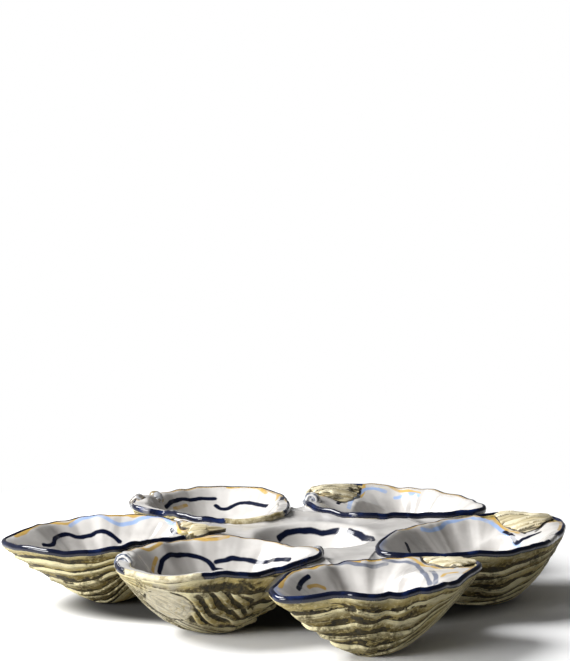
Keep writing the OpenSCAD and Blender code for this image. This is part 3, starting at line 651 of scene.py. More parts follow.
def paintedLines(name, shell):  # every stroke on a shell's glaze as a line in space, by colour
    def onGlaze(turns, levels):
        return np.array([glazePoint(shell, turn, level) for turn, level in zip(turns, levels)])

    def byShares(stroke):
        turns, levels = np.transpose(stroke)
        knots = np.column_stack([np.unwrap(turns, period=1), levels])
        return onGlaze(*lineThrough(knots, strokeSteps * len(stroke)).T)

    def byPlace(stroke):
        u, v = lineThrough(stroke, strokeSteps * len(stroke)).T
        turns = np.arctan2(v, u) / fullTurn
        return onGlaze(turns, np.hypot(u, v) / glazeReach(shell, turns)[1])

    part = np.linspace(-1, 1, 11)
    farShare = (90 - shell["turn"]) / 360
    wave = trims["wave"] * np.sin(trims["bends"] * part + len(name))
    lines = {colour: [byShares(stroke) for stroke in paint[name].get(colour, [])] for colour in brushes}
    lines["trim"].append(byShares(np.column_stack([farShare + trims["wide"] * part, trims["level"] + wave])))
    for colour, strokes in hingePaint.get(name, {}).items():
        lines[colour] += [byPlace(stroke) for stroke in strokes]
    return lines


lining = {
    "around": 480, "levels": 70, "ease": 0.75, "backLevels": (0.3, 0.7, 0.98), "backDrop": 1.2, "apart": 40,
    "foldDepth": 0.24, "foldSize": 12, "foldRound": 30, "foldDown": 14, "foldFrom": (0.35, 0.8),
    "sagDepth": 0.7, "sagSize": 28, "sagRim": (1.0, 0.8), "sagFloor": (0.0, 0.3),
}


def makeLining(name, shell, material):
    share = np.arange(lining["around"]) / lining["around"]
    levels = np.linspace(1, 0, lining["levels"] + 1)[:-1] ** lining["ease"]
    back = [cupPoint(shell, share, level, -lining["backDrop"] * offRim(level))
            for level in lining["backLevels"]]
    points = np.concatenate(back + [glazePoint(shell, share, level) for level in levels])
    smoothPoints = points.copy()  # strokes are measured here, so that the folds don't widen or break them
    allLevels = np.repeat([0] * len(back) + [*levels], len(share))
    around = fullTurn * np.tile(share, len(back) + len(levels))
    depth = lining["foldDown"] * allLevels + lining["apart"] * len(name)
    fold = roughness(circlePoint(lining["foldRound"], around, depth), lining["foldSize"], 3)
    deep = offRim(allLevels) * smooth(*lining["foldFrom"], allLevels)
    points += circlePoint(lining["foldDepth"] * fold * deep, around + math.radians(shell["turn"]))
    sag = lining["sagDepth"] * smooth(*lining["sagRim"], allLevels) * smooth(*lining["sagFloor"], allLevels)
    points[:, 2] += sag * roughness(points, lining["sagSize"])
    rings = list(points.reshape(-1, len(share), 3))
    mesh = ringMesh(name, rings, cupPoint(shell, 0.0, 0.0, -lining["backDrop"]), glazePoint(shell, 0.0, 0.0))
    # the folds also give painted shade in the glaze's colour
    setAttribute(mesh, "fold", fold * deep)
    setPaint(mesh, smoothPoints, paintedLines(name, shell))
    keepPiece(name + "GlazeLining", mesh, material, "white_glaze", name + "_lining")


# Cobalt line round each rim

rimLine = {"around": 480, "inset": 1.95, "drop": 1.95, "sides": 14, "waviness": 2.0, "ragged": 0.02}
sweepInputs = {"Half width": 1.7, "Half height": 2.1, "Swell": 0.16, "Swell size": 17}
bareRims = {  # stretches of rim that the line leaves bare, as turn shares from the hinge
    "left": [(0.945, 1.06)], "front_left": [(0.075, 0.215)], "front_right": [(0.002, 0.078)],
    "right": [(0.0, 0.08)], "back_right": [(0.93, 1.05)], "back_left": [(0.315, 0.44)],
}
whiteRims = {"right": [(0.835, 0.868)], "back_left": [(0.086, 0.094)]}  # where white glaze runs over it


def makeSweepTree(material):
    tree, graph, inputs = newTree("rimSweep", sweepInputs)
    read = inputs.out
    path = graph.node("GeometryNodeMeshToCurve", None, {"Mesh": inputs})
    path = graph.node("GeometryNodeSetCurveNormal", {"mode": "Z_UP"}, {"Curve": path})
    wave = graph.swing(graph.node("GeometryNodeInputPosition"), read("Swell size"))
    radius = 1 + wave * read("Swell") * rimLine["waviness"]
    path = graph.node("GeometryNodeSetCurveRadius", None, {"Curve": path, "Radius": radius})
    ring = {"Resolution": rimLine["sides"], "Radius": mm}
    circle = graph.node("GeometryNodeCurvePrimitiveCircle", None, ring)
    stretch = graph.combine(read("Half width"), read("Half height"), 1.0)
    profile = graph.node("GeometryNodeTransform", None, {"Geometry": circle, "Scale": stretch})
    swept = graph.node("GeometryNodeCurveToMesh", None, {"Curve": path, "Profile Curve": profile})
    endTree(graph, swept, material)
    return tree


def makeRimLine(name, shell, tree, material):
    share = np.arange(rimLine["around"]) / rimLine["around"]
    points = edgePoint(shell, share, rimLine["inset"], rimLine["drop"]) * mm
    mesh = bpy.data.meshes.new(name)
    step = np.arange(len(points))
    mesh.from_pydata(points.tolist(), np.stack([step, (step + 1) % len(points)], -1).tolist(), [])
    fade = rimLine["ragged"]
    for label, stretches in (("bare", bareRims), ("white", whiteRims)):
        cover = np.zeros(len(points))
        for start, end in stretches.get(name, []):
            for place in (share, share + 1):
                inside = smooth(start - fade, start + fade, place) * smooth(end + fade, end - fade, place)
                cover = np.maximum(cover, inside)
        setAttribute(mesh, label, cover)
    keepPiece(name + "CobaltRim", grow(name, mesh, tree, {}), material, "cobalt_line", name + "_rim_line")


# Leaves of bare clay at the hinges, and the curls and knobs beside them

leaf = {
    "around": 200, "rings": 30, "ragged": 1.5, "raggedSize": 7, "groundDrop": 1.0, "groundBlend": 0.6,
    "bed": 0.7, "beakBed": 1.6, "edge": 0.7, "crown": 0.9, "crownWide": 8, "calmEdge": 1.5, "top": 46.3,
    "layer": 6.5, "layerStep": 1.3, "layerShape": 1.3, "layerEdge": (1.0, 0.9), "driftLayers": 0.8,
    "drift": (26, 9, 9), "crease": (24, 3.2, 9), "creaseStep": 0.5, "groove": (0.2, 0.04),
    "grooveWhere": (-0.3, 0.3), "dark": (-0.25, -0.6), "darkness": 0.8, "crest": (0.6, 0.9),
    "sides": ((0.4, 0, 1), (0.97, 0, 1), (1.0, 0.4, 0.8), (0.99, 1, 0.1)),  # outline's share, height's, and how dark the side is painted as shade
    "grain": {"left": 14, "beak": 14, "front_right": 150, "right": 146, "back_right": 55},  # degrees
}
hingeLeaves = {  # outlines from the shell's middle, towards the hinge and to its left
    "left": [(58, 3), (48, 18), (41, 17), (43, 9), (50, 2)],
    "front_right": [(66.5, 0.5), (61, 10), (52, 20.5), (46, 24), (42, 17), (44, 5), (48, -6), (57, -4.5)],
    "right": [(67.5, 1), (65.5, 12), (59, 24), (49, 29.5), (42, 25), (38.5, 10), (36.5, -5), (43, -8.5),
              (54, -7), (64.5, -3.5)],
    "back_right": [(65.5, -2), (61.5, -14), (55.5, -23), (46, -27), (40, -20), (34, -2), (36, 10), (48, 13),
                   (60, 9)],
}
beak = [(43, -11), (45, -2), (52, 3.5), (59, 2.4), (66, -1.4), (65.8, -2.4), (58, -6.5), (51, -15)]


def roundOutline(corners, count):  # a smooth closed line through corners
    share = np.arange(count) / count
    return np.stack([tableAt(values, share) for values in np.transpose(corners)], -1)


def groundAt(shell, flat):  # the top of the glaze under points given towards the hinge and to its left
    share = np.arctan2(flat[:, 1], flat[:, 0]) / fullTurn
    level = np.hypot(*flat.T) / cupEdge(shell, share)
    bowl = cupHeight(shell, share, np.minimum(level, 1.0)) + plate["glazeThickness"]
    return softLeast(bowl, edgeHeight(shell, share) - leaf["groundDrop"], leaf["groundBlend"])


def makeLeaf(name, shell, corners, bed):
    line = roundOutline(corners, leaf["around"])
    heart = line.mean(0)
    away = line - heart
    away /= np.linalg.norm(away, axis=1)[:, None]
    wobble = roughness(np.column_stack([line, np.full(len(line), 9.0 * len(name))]), leaf["raggedSize"])
    line = line + away * leaf["ragged"] * wobble[:, None]
    middle = shellPoint(shell, 0.0, 1, 0.0, 0.0)[:2]
    rings, marks = [], []
    tops = [(scale, 1, 0) for scale in np.linspace(0.965, 0.03, leaf["rings"])]
    for scale, lift, side in [*leaf["sides"], *tops]:
        flat = heart + (line - heart) * scale
        inward = (1 - scale) * np.linalg.norm(line - heart, axis=1)
        along, across = turned(*flat.T, -math.radians(leaf["grain"][name]))
        spot = np.column_stack([along, across, np.full(len(flat), 7.0 * len(name))])
        drift, crease = roughness(spot / leaf["drift"], 1.0), roughness(spot / leaf["crease"], 1.0, 3)
        phase = (across / leaf["layer"] + leaf["driftLayers"] * drift) % 1
        step = leaf["layerStep"] * phase ** leaf["layerShape"] * smooth(*leaf["layerEdge"], phase)
        rise = leaf["edge"] + leaf["crown"] * smooth(0, leaf["crownWide"], inward)
        rise = rise + (step + leaf["creaseStep"] * crease) * smooth(0, leaf["calmEdge"], inward)
        z = groundAt(shell, flat) + (lift * rise if lift else -bed)
        x, y = turned(*flat.T, math.radians(shell["turn"]))
        rings.append(np.stack([middle[0] + x, middle[1] + y, np.minimum(z, leaf["top"])], -1))
        # the leaf's sides are painted dark as shade; its tops are also darker in the steps between layers and
        # along creases
        groove = smooth(*leaf["groove"], phase) * smooth(*leaf["grooveWhere"], drift)
        hollow = np.maximum(groove, leaf["darkness"] * smooth(*leaf["dark"], crease)) * (lift > 0)
        marks.append([np.full(len(flat), side), hollow, smooth(*leaf["crest"], phase), along * mm, across * mm])
    mesh = ringMesh(name, rings, rings[0].mean(0), rings[-1].mean(0))
    for label, values in zip(("side", "hollow", "crest", "along", "across"), np.concatenate(marks, 1)):
        setAttribute(mesh, label, values)
    return mesh


def joinMeshes(name, meshes):  # one mesh, with the number attributes of all, and its faces outwards
    points, faces, values = [], [], {}
    for mesh in meshes:
        base = len(points)
        points += [list(vertex.co) for vertex in mesh.vertices]
        faces += [[base + corner for corner in face.vertices] for face in mesh.polygons]
        for layer in mesh.attributes:
            if layer.data_type == "FLOAT" and layer.domain == "POINT":
                values.setdefault(layer.name, []).extend(item.value for item in layer.data)
    joined = bpy.data.meshes.new(name)
    joined.from_pydata(points, [], faces)
    for label, numbers in values.items():
        setAttribute(joined, label, numbers)
    shape = bmesh.new()
    shape.from_mesh(joined)
    bmesh.ops.recalc_face_normals(shape, faces=shape.faces)
    shape.to_mesh(joined)
    shape.free()
    return joined


def makeLeaves(material):
    made = [makeLeaf(name, shells[name], corners, leaf["bed"]) for name, corners in hingeLeaves.items()]
    made.append(makeLeaf("beak", shells["left"], beak, leaf["beakBed"]))
    keepPiece("hingeLeaves", joinMeshes("hingeLeaves", made), material, "clay", "hinge_leaves")


curls = {  # middle, the way it faces, radius, bulge, turns of the spiral, its start, share of brown
    "front_left": [((-91.0, -71.5, 39.3), (-0.45, -0.85, 0.3), 6.4, 2.4, 1.7, 0.2, 0.0),
                   ((17.6, -50.5, 41.0), (0.15, -0.85, 0.5), 3.8, 1.6, 1.4, 0.6, 0.2)],
    "back_right": [((16.0, 97.0, 40.4), (-0.3, -0.85, 0.4), 6.0, 2.6, 1.5, 0.4, 0.1)],
    "back_left": [((-95.5, 92.5, 40.0), (-0.1, -0.9, 0.35), 5.9, 4.4, 0.4, 0.5, 0.6),
                  ((-85.3, 104.5, 40.6), (0.1, -0.9, 0.4), 5.2, 3.8, 0.4, 0.3, 1.0)],
}
curl = {
    "around": 72, "rings": 26, "relief": 0.9, "ragged": 0.12, "raggedSize": 4, "dome": 2.5,
    "reliefEdge": (1.0, 0.85), "rimBand": (0.8, 0.95),
    "back": ((0.25, 4.4), (0.6, 3.8), (0.88, 2.3), (1.02, 0.6)),  # share of the radius, and how far behind
}


def makeCurls(name, material):
    made = []
    angle = fullTurn * np.arange(curl["around"]) / curl["around"]
    around = circlePoint(1, angle)
    front = [(part, 0) for part in np.linspace(1.0, 0.04, curl["rings"])]
    for spot, facing, radius, bulge, turns, start, brown in curls[name]:
        normal = np.array(facing) / np.linalg.norm(facing)
        side = np.cross(normal, [0, 0, 1.0])
        side /= np.linalg.norm(side)
        up = np.cross(side, normal)
        reach = radius * (1 + curl["ragged"] * roughness(around * radius + spot, curl["raggedSize"]))
        rings, crowns = [], []
        for part, behind in [*curl["back"], *front]:
            relief = 0.5 + 0.5 * np.cos(fullTurn * (part * turns - angle / fullTurn + start))
            out = bulge * math.sqrt(max(0.0, 1 - part ** curl["dome"]))
            out = out + curl["relief"] * relief * smooth(*curl["reliefEdge"], part)
            out = np.full(len(angle), -behind) if behind else out
            flat = (reach * part)[:, None] * (around[:, :1] * side + around[:, 1:2] * up)
            rings.append(np.array(spot) + flat + out[:, None] * normal)
            crowns.append(np.maximum(relief, smooth(*curl["rimBand"], part)) * (1 - brown))
        mesh = ringMesh(name, rings, rings[0].mean(0), rings[-1].mean(0))
        setAttribute(mesh, "crown", np.concatenate(crowns))
        setAttribute(mesh, "brown", [], brown)
        made.append(mesh)
    keepPiece(name + "RimCurls", joinMeshes(name, made), material, "white_glaze")


# White web with the sauce well, and the slip in the valleys

centre = {
    "well": (17, 11), "crestRadius": 35, "crestHeight": 38.3, "wellDepth": 20.3, "sag": 1.0, "webThickness": 7,
    "webRings": 22, "wellRings": 26, "perStep": 7, "gapStep": 2.0, "tuckIn": 1.2, "overlap": 0.4, "fillet": 2.6,
    "wavy": 0.5, "wavySize": 24, "strokeStretch": 1.1,
    "arcs": [("right", 15, 8), ("back_right", 11, 5), ("back_left", 16, 9), ("left", 1, 0),
             ("front_left", 23, 16), ("front_right", 8, 6)],
    "strokes": [[(134, .86), (124, .9), (115, .92), (103, .925), (92, .92), (84, .9), (78, .89), (70, .91),
                 (62, .93)],
                [(49, .96), (41, .95), (33, .95), (24, .94), (16, .94), (-2, .99), (-20, 1.07)]],
}
seamSteps = 32  # of a shell's whole turn, as the arcs and valleys count them
valleys = [  # two shells, the step at which each leaves the web, and the steps that the slip goes on for
    ("right", 8, "back_right", 11, 4), ("back_right", 5, "back_left", 16, 3), ("back_left", 9, "left", 1, 4),
    ("left", 32, "front_left", 23, 5), ("front_left", 16, "front_right", 8, 4),
    ("front_right", 6, "right", 15, 4)]
bridge = {"start": -0.06, "past": 0.4, "rings": 30, "across": 13, "wallLevel": 0.87, "sag": 0.1, "sagMore": 1.0,
          "thin": 0.5}


def seamPoint(name, step):
    share = np.asarray(step, float) / seamSteps
    return edgePoint(shells[name], share, centre["tuckIn"], plate["lineHeight"] - centre["overlap"])


def makeCentre(material):
    seam, outline = [], []
    for name, first, last in centre["arcs"]:
        count = max(2, abs(first - last) * centre["perStep"])
        seam += [*seamPoint(name, np.linspace(first, last, count))]
    for point, following in zip(seam, np.roll(seam, -1, 0)):  # even steps across the valleys' mouths
        pieces = max(1, int(round(np.linalg.norm(following - point) / centre["gapStep"])))
        outline += [point + (following - point) * part / pieces for part in range(pieces)]
    outline = np.array(outline)
    crest, top, deep = centre["crestRadius"], centre["crestHeight"], centre["wellDepth"]
    well = np.array(centre["well"]) - plate["layout"]
    away = outline[:, :2] - well
    angle, reach = np.arctan2(away[:, 1], away[:, 0]), np.hypot(*away.T)

    def surface(share, inner):  # share: 1 at the seam, 0 at the crest; inner: 1 at the crest, 0 at the middle
        radius = crest + (reach - crest) * share if inner == 1 else crest * inner
        web = top + (outline[:, 2] - top) * share**1.5 - centre["sag"] * 4 * share * (1 - share)
        bowl = top + deep * ((radius / crest) ** 3 - 1)
        return circlePoint(radius, angle, softLeast(web, bowl, centre["fillet"]), well)

    rings = [surface(share, 1) for share in np.linspace(1, 0, centre["webRings"])]
    rings += [surface(0, inner) for inner in np.linspace(1, 0.02, centre["wellRings"])[1:]]
    points = np.concatenate(rings)
    free = points[len(outline):]  # the first ring stays on the seam
    free[:, 2] += centre["wavy"] * roughness(free, centre["wavySize"])
    rings = list(points.reshape(-1, len(outline), 3))
    under = [ring - [0, 0, centre["webThickness"]] for ring in rings[::-4]]
    middle = np.array([*well, top - deep])
    mesh = ringMesh("centre", under + rings, middle - [0, 0, centre["webThickness"]], middle)
    lines = []
    for stroke in centre["strokes"]:
        turns, levels = lineThrough(stroke, strokeSteps * len(stroke)).T
        lines.append(circlePoint(crest * levels, np.radians(turns), 0, well)[:, :2] * centre["strokeStretch"])
    plan = np.concatenate([*under, *rings, [middle, middle]])[:, :2]
    setPaint(mesh, plan * centre["strokeStretch"], {"navy": lines})
    keepPiece("centreDish", mesh, material, "white_glaze", "centre_dish")


def makeBridges(material):
    meshes = []
    across = np.linspace(0, 1, bridge["across"])[:, None]
    for first, firstStep, second, secondStep, length in valleys:
        rings = []
        for along in np.linspace(bridge["start"], length + bridge["past"], bridge["rings"]):
            full = math.sqrt(max(0.0, 1 - max(0.0, along - length + 1) ** 2 / 2))  # 1, less at the round end
            ends = ((first, firstStep - along), (second, secondStep + along))
            lows = [wallPoint(shells[name], step / seamSteps, bridge["wallLevel"]) for name, step in ends]
            tops = [low + (seamPoint(*end) - low) * full for low, end in zip(lows, ends)]
            top, low = (side[0] + (side[1] - side[0]) * across for side in (tops, lows))
            top[:, 2:] -= 4 * across * (1 - across) * (bridge["sag"] + bridge["sagMore"] * along)
            top[:, 2] = np.maximum(top[:, 2], low[:, 2] + bridge["thin"])
            rings.append(np.concatenate([top, low[::-1]]))
        meshes.append(ringMesh("bridge", rings, rings[0].mean(0), rings[-1].mean(0)))
    joined = joinMeshes("slipBridges", meshes)
    setPaint(joined, [], {})
    keepPiece("slipBridges", joined, material, "white_glaze", "slip_bridges")


# Materials

glaze = {
    "white": (0.62, 0.60, 0.575), "milkyAndFoldShade": (0.42, 0.40, 0.38), "navy": (0.002, 0.005, 0.022),
    "sky": (0.29, 0.42, 0.70), "gold": (0.56, 0.35, 0.07), "grey": (0.13, 0.15, 0.21),
    # slitShade: near-black strokes along each hinge leaf's inner edge, a painted shadow of the slit there
    "wash": (0.12, 0.17, 0.36), "trim": (0.44, 0.28, 0.07), "slitShade": (0.012, 0.011, 0.012),
    "rough": 0.13, "gloss": 0.38,
    "covers": {"wash": 0.7, "trim": 0.8, "gold": 0.9, "sky": 0.9, "grey": 0.9, "navy": 1.0, "slitShade": 0.95},
    "softEdge": 0.4, "hardCore": 0.72, "washCore": 0.2, "wobble": 0.55, "foldShadeSpan": (-0.1, 0.55),
    "cloud": (16, 3.0, 0.55, 0.4, 0.66), "broken": (9, 2.0, 0.6, 0.3, 0.5), "thinnest": 0.55,
}


def makeWhiteGlaze():
    material, graph, place = newMaterial("whiteGlaze")
    cloud, fold = graph.patches(place, *glaze["cloud"]), graph.attribute("fold").between(*glaze["foldShadeSpan"])
    # milky grey in cloudy patches of the glaze, and painted shade along the folds of the glaze
    colour = graph.mix((cloud * 0.45 + fold * 0.75).atMost(1), glaze["white"], glaze["milkyAndFoldShade"])
    wobble = graph.swing(place, 6) * glaze["wobble"]
    broken = graph.patches(place, *glaze["broken"]) * (1 - glaze["thinnest"]) + glaze["thinnest"]
    for name, cover in glaze["covers"].items():
        core = glaze["washCore" if name == "wash" else "hardCore"]
        edge = graph.attribute(name) + wobble
        mask = edge.between(brushes[name] + glaze["softEdge"], brushes[name] * core) * cover
        colour = graph.mix(mask if name == "navy" else mask * broken, colour, glaze[name])
    finishMaterial(graph, glaze, colour, glaze["rough"], (graph.noise(place, 7), 0.3, 0.35))
    return material


cobalt = {
    "deep": (0.0015, 0.004, 0.020), "thin": (0.007, 0.020, 0.09), "bare": (0.74, 0.67, 0.46),
    "umber": (0.30, 0.235, 0.10), "white": glaze["white"], "rough": 0.10, "bareRough": 0.45, "gloss": 0.5,
}


def makeCobalt():
    material, graph, place = newMaterial("cobaltGlaze")
    pool, pitted = graph.noise(place, 12), graph.noise(place, 5, 5.0, 0.7)
    ragged = (graph.attribute("bare") + graph.swing(place, 5, 3.0, 0.6) * 0.6).between(0.4, 0.6)
    mottled = (pitted * 0.6 + graph.noise(place, 16) * 0.5).between(0.46, 0.66)
    clayed = graph.mix(mottled, cobalt["bare"], cobalt["umber"])
    colour = graph.mix(ragged, graph.mix(pool.between(0.5, 0.75), cobalt["deep"], cobalt["thin"]), clayed)
    run = (graph.attribute("white") + (pool - 0.5) * 0.5).between(0.4, 0.6)
    finishMaterial(graph, cobalt, graph.mix(run, colour, cobalt["white"]),
                   cobalt["rough"] + cobalt["bareRough"] * ragged,
                   (graph.noise(place, 4), 0.2, 0.15), (pitted * ragged, 1.6, 0.8))
    return material


leafClay = {
    "buff": (0.54, 0.47, 0.30), "tan": (0.24, 0.19, 0.09), "cream": (0.76, 0.70, 0.52),
    "umber": (0.022, 0.017, 0.010), "rough": 0.55, "gloss": 0.3, "stretch": 0.22,
}


def makeLeafClay():
    material, graph, place = newMaterial("leafClay")
    mark = graph.attribute
    grained = graph.combine(mark("along") * leafClay["stretch"], mark("across"), 0.0)
    layered, speck = graph.noise(grained, 3.2, 4.0, 0.6), graph.noise(place, 1.6, 3.0, 0.6)
    # umber where the leaf's sides are painted as shade, and in its grooves and creases
    dark = mark("side").atLeast(mark("hollow"))
    colour = graph.coats(
        leafClay, leafClay["buff"],
        (layered.between(0.42, 0.66), "tan"),
        ((mark("crest") + (layered - 0.5) * 1.5).between(0.3, 0.9) * 0.8, "cream"),
        ((dark + (speck - 0.5) * 0.5).between(0.35, 0.9) * 0.9, "umber"))
    finishMaterial(graph, leafClay, colour, leafClay["rough"], (layered, 0.5, 0.6), (speck, 0.2, 0.4))
    return material


nacre = {
    "pearl": (0.40, 0.41, 0.43), "slate": (0.06, 0.075, 0.12), "rim": (0.72, 0.70, 0.66),
    "brown": (0.22, 0.17, 0.085), "rough": 0.2, "gloss": 0.5,
}


def makeNacre():
    material, graph, place = newMaterial("nacreGlaze")
    drift = graph.noise(place, 4.5, 3.0, 0.6)
    colour = graph.coats(
        nacre, nacre["pearl"],
        (drift.between(0.36, 0.56), "slate"),
        (graph.attribute("brown") * drift.between(0.35, 0.6), "brown"),
        (graph.attribute("crown").between(0.5, 0.95) * 0.75, "rim"))
    finishMaterial(graph, nacre, colour, nacre["rough"], (drift, 0.3, 0.4))
    return material


clay = {
    "khaki": (0.66, 0.53, 0.21), "olive": (0.26, 0.19, 0.048), "cream": (0.96, 0.87, 0.54),
    "pale": (0.72, 0.67, 0.54), "bleached": (0.84, 0.80, 0.69), "char": (0.022, 0.019, 0.012),
    "umber": (0.12, 0.088, 0.026), "rough": 0.5, "patchRough": 0.25, "gloss": 0.28,
}
clayNoise = {  # size in millimetres, detail, roughness, and the ends of a mask
    "patch": (17, 3.0, 0.6), "speck": (2.2, 3.0, 0.65), "ruffle": (5, 4.0, 0.65), "lumps": (3.2, 4.0, 0.65),
    "sand": (0.8, 2.0, 0.6), "brushed": (8, 4.0, 0.6), "pool": (15, 3.0, 0.55),
    "fleck": (3.0, 4.0, 0.7, 0.38, 0.6), "smudge": (24, 4.0, 0.65, 0.50, 0.62)}


def makeClay():
    material, graph, place = newMaterial("stonewareClay")
    mark, streak = graph.attribute, graph.attribute("streak", "FLOAT_VECTOR")
    patch, speck, lumps, sand, brushed, pool = (
        graph.noise(streak if name in ("brushed", "pool") else place, *clayNoise[name])
        for name in ("patch", "speck", "lumps", "sand", "brushed", "pool"))
    few, fleck = graph.patches(streak, *growthNoise["few"]), graph.patches(place, *clayNoise["fleck"])
    count, calm, flute, wave, scar = map(mark, ("count", "calm", "flute", "fluteWave", "scarReach"))
    rugged, face, fine = 1 - calm, count.fraction(), (count * plateInputs["Minor plates"]).fraction()
    spread = pool.between(0.33, 0.64) * 0.62 + 0.06  # how far the dark wash spreads from a groove
    groove = (1 - face / spread).atLeast(0)
    hollow = (groove.between(0.0, 0.6) * pool.between(0.28, 0.42)).atLeast(fine.between(0.30, 0.05) * few * 0.5)
    hollow = hollow * mark("spread").between(0.1, 0.4) * (mark("lipward") * 0.7 + 0.3)
    hollow = hollow * (1 - flute * 0.5) * rugged
    rind = calm.between(0.02, 0.3) * calm.between(0.8, 0.45) * pool.between(0.44, 0.58)
    furrow = (wave + graph.swing(place, *clayNoise["ruffle"])).between(0.15, -0.45)
    furrow = furrow * pool.between(0.25, 0.42) * flute
    hollow = hollow.atLeast(mark("pit")).atLeast(rind).atLeast(furrow)
    # crest: pale along each plate's edge, partly the clay's pale edge and partly painted highlight
    crest = (face.between(0.66, 0.92) * mark("size")).atLeast(fine.between(0.7, 0.95) * few * 0.5)
    fluted = wave.between(0.1, 0.9) * flute * brushed.between(0.35, 0.6)
    crest = (crest * (1 - flute * 0.4)).atLeast(fluted * 0.7)
    smudge = graph.patches(place, *clayNoise["smudge"]) * rugged
    stain = hollow + smudge * 0.25 + ((speck - 0.5) * 0.9 + (brushed - 0.5) * 0.7) * (1 - calm * 0.7)
    hairline = (count * growth["hairlines"] + (speck - 0.5) * 2).fraction() * rugged * brushed.between(0.4, 0.6)
    scarRings = (scar * 4 + (patch - 0.5) * 3).fraction()
    mottled = graph.coats(
        clay, clay["pale"],
        ((speck * 0.6 + patch * 0.6).between(0.48, 0.72), "khaki"),
        (scarRings.between(0.3, 0.0) * 0.5, "umber"))
    plated = graph.coats(
        clay, clay["khaki"],
        ((patch * 0.6 + mark("tone") * 0.25 + brushed * 0.3).between(0.44, 0.68), "olive"),
        # cream towards each plate's edge and umber towards the groove behind it: partly the glaze's own
        # pooling, partly painted highlight and shade
        ((face + (brushed - 0.5) * 1.1).between(0.35, 1.05) * 0.75, "cream"),
        (((1 - face) + (brushed - 0.5) * 0.9).between(0.6, 1.15) * 0.75, "umber"),
        ((crest + (speck - 0.5) * 0.4).between(0.25, 0.8) * 0.9, "cream"))
    colour = graph.coats(
        clay, graph.mix(calm, plated, mottled),
        (scar.between(2.6, 1.1) * patch.between(0.3, 0.6) * (1 - flute) * 0.6, "bleached"),
        (smudge * speck.between(0.3, 0.6) * 0.75, "umber"),
        ((1 - speck.between(0.3, 0.5)) * 0.5, "cream"),
        (stain.between(0.15, 0.6) * 0.8, "umber"),
        (stain.between(0.32, 0.78) * (fleck * 0.4 + 0.6), "char"),
        (mark("bare") * 0.8, "olive"),
        (hairline.between(0.25, 0.05) * brushed.between(0.45, 0.6) * 0.35, "umber"))
    finishMaterial(graph, clay, colour, clay["rough"] + clay["patchRough"] * patch,
                   (hairline, 0.3, 0.5), (lumps, 0.6, 0.6), (sand, 0.15, 0.5))
    return material


whiteGlaze, cobaltGlaze, stoneware = makeWhiteGlaze(), makeCobalt(), makeClay()
leafGlaze, nacreGlaze = makeLeafClay(), makeNacre()
platesTree, sweepTree = makePlatesTree(stoneware), makeSweepTree(cobaltGlaze)
for shellName, shell in shells.items():
    makeShellBody(shellName, shell, platesTree, stoneware)
    makeLining(shellName, shell, whiteGlaze)
    makeRimLine(shellName, shell, sweepTree, cobaltGlaze)
    if shellName in curls:
        makeCurls(shellName, nacreGlaze)
    print("stage:", shellName, "shell, lining and rim line")
makeLeaves(leafGlaze)
makeCentre(whiteGlaze)
makeBridges(whiteGlaze)
print("stage: centre and bridges")


# Studio

studio = {
    "lens": 102.47, "sensor": 36, "camera": (-1 * mm, -1.1023, 0.2845), "tilt": 83.681, "aim": (0, 0, 0.02),
    "floorHalf": 6.0, "floorBounce": 0.28, "floorShadeUnder": 0.12, "floorSeen": 1.05, "fade": (0.26, 0.40),
    "underSpan": (0.112, 0.150), "underShape": (1, 2, 0),  # the floor is painted darker under the plate, as painted shadow
    "skyLow": 0.06, "skySide": 0.34, "skyHorizon": 0.10,
    "key": {"place": (-1.12, 0.12, 1.12), "size": 0.85, "power": 38},
    "fill": {"place": (-1.25, -0.85, 0.5), "size": 0.8, "power": 20.5},
}
plainWhite = (1, 1, 1, 1)


def makeLamp(name, place, size, power):
    light = bpy.data.lights.new(name, "AREA")
    light.shape, light.size, light.energy = "DISK", size, power
    lamp = addObject(name, light)
    lamp.location = place
    lamp.rotation_euler = (Vector(studio["aim"]) - Vector(place)).to_track_quat("-Z", "Y").to_euler()


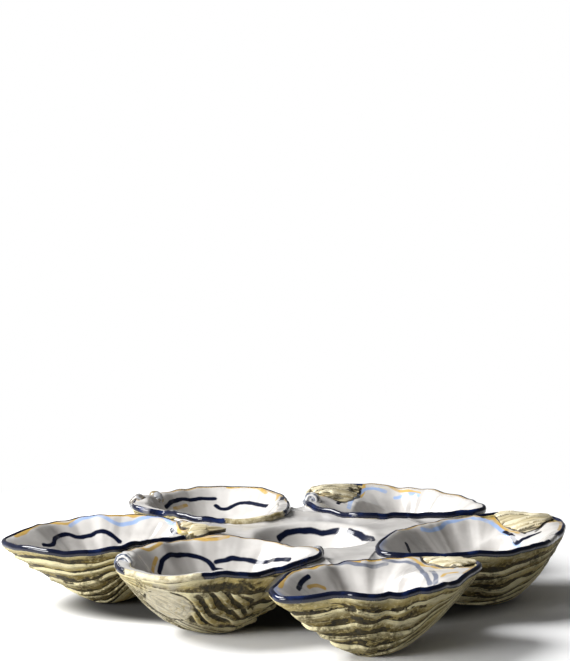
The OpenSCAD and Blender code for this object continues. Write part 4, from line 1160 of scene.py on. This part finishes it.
def makeFloor():
    mesh = bpy.data.meshes.new("floor")
    half = studio["floorHalf"]
    corners = [(-half, -half, 0), (half, -half, 0), (half, half, 0), (-half, half, 0)]
    mesh.from_pydata(corners, [], [(0, 1, 2, 3)])
    material, graph, place = newMaterial("paper")
    path = graph.node("ShaderNodeLightPath")
    seen = path.out("Is Camera Ray").atLeast(path.out("Is Glossy Ray"))
    beside = graph.length(graph.vector("MULTIPLY", place, studio["underShape"])).between(*studio["underSpan"])
    under, shown, bounce = ((studio[name],) * 3 for name in ("floorShadeUnder", "floorSeen", "floorBounce"))
    # camera and glossy rays see the paper painted dark under the plate as a painted shadow, and white further
    # out
    tone = graph.mix(seen, bounce, graph.mix(beside, under, shown))
    paper = graph.node("ShaderNodeBsdfDiffuse", None, {"Color": tone})
    glow = graph.node("ShaderNodeEmission", None, {"Color": plainWhite, "Strength": 1.0})
    far = graph.length(place).between(*studio["fade"]) * seen
    shader = graph.node("ShaderNodeMixShader", None, {0: far, 1: paper, 2: glow})
    graph.node("ShaderNodeOutputMaterial", None, {"Surface": shader})
    mesh.materials.append(material)
    floor = addObject("studioFloor", mesh)


def makeWorld():  # a white backdrop low down, light from the left, and a dark ceiling
    world = bpy.data.worlds.new("studio")
    graph = emptyGraph(world)
    seen = graph.node("ShaderNodeLightPath").out("Is Camera Ray")
    way = graph.node("ShaderNodeTexCoord").out("Generated")
    parts = graph.node("ShaderNodeSeparateXYZ", None, {"Vector": way})
    light = studio["skyLow"] + studio["skySide"] * parts.out("X").between(0.4, -0.9)
    light = light + studio["skyHorizon"] * parts.out("Z").between(0.5, 0.05)
    strength = light + (1 - light) * seen
    shade = graph.node("ShaderNodeBackground", None, {"Color": plainWhite, "Strength": strength})
    graph.node("ShaderNodeOutputWorld", None, {"Surface": shade})
    bpy.context.scene.world = world


def makeCamera():
    data = bpy.data.cameras.new("camera")
    data.lens, data.sensor_width, data.sensor_fit = studio["lens"], studio["sensor"], "AUTO"
    camera = addObject("camera", data)
    camera.location = studio["camera"]
    camera.rotation_euler = (math.radians(studio["tilt"]), 0, 0)
    bpy.context.scene.camera = camera


makeFloor()
makeWorld()
makeCamera()
for lampName in ("key", "fill"):
    makeLamp(lampName, **studio[lampName])
bpy.context.scene.view_settings.view_transform = "Standard"
print("stage: studio")
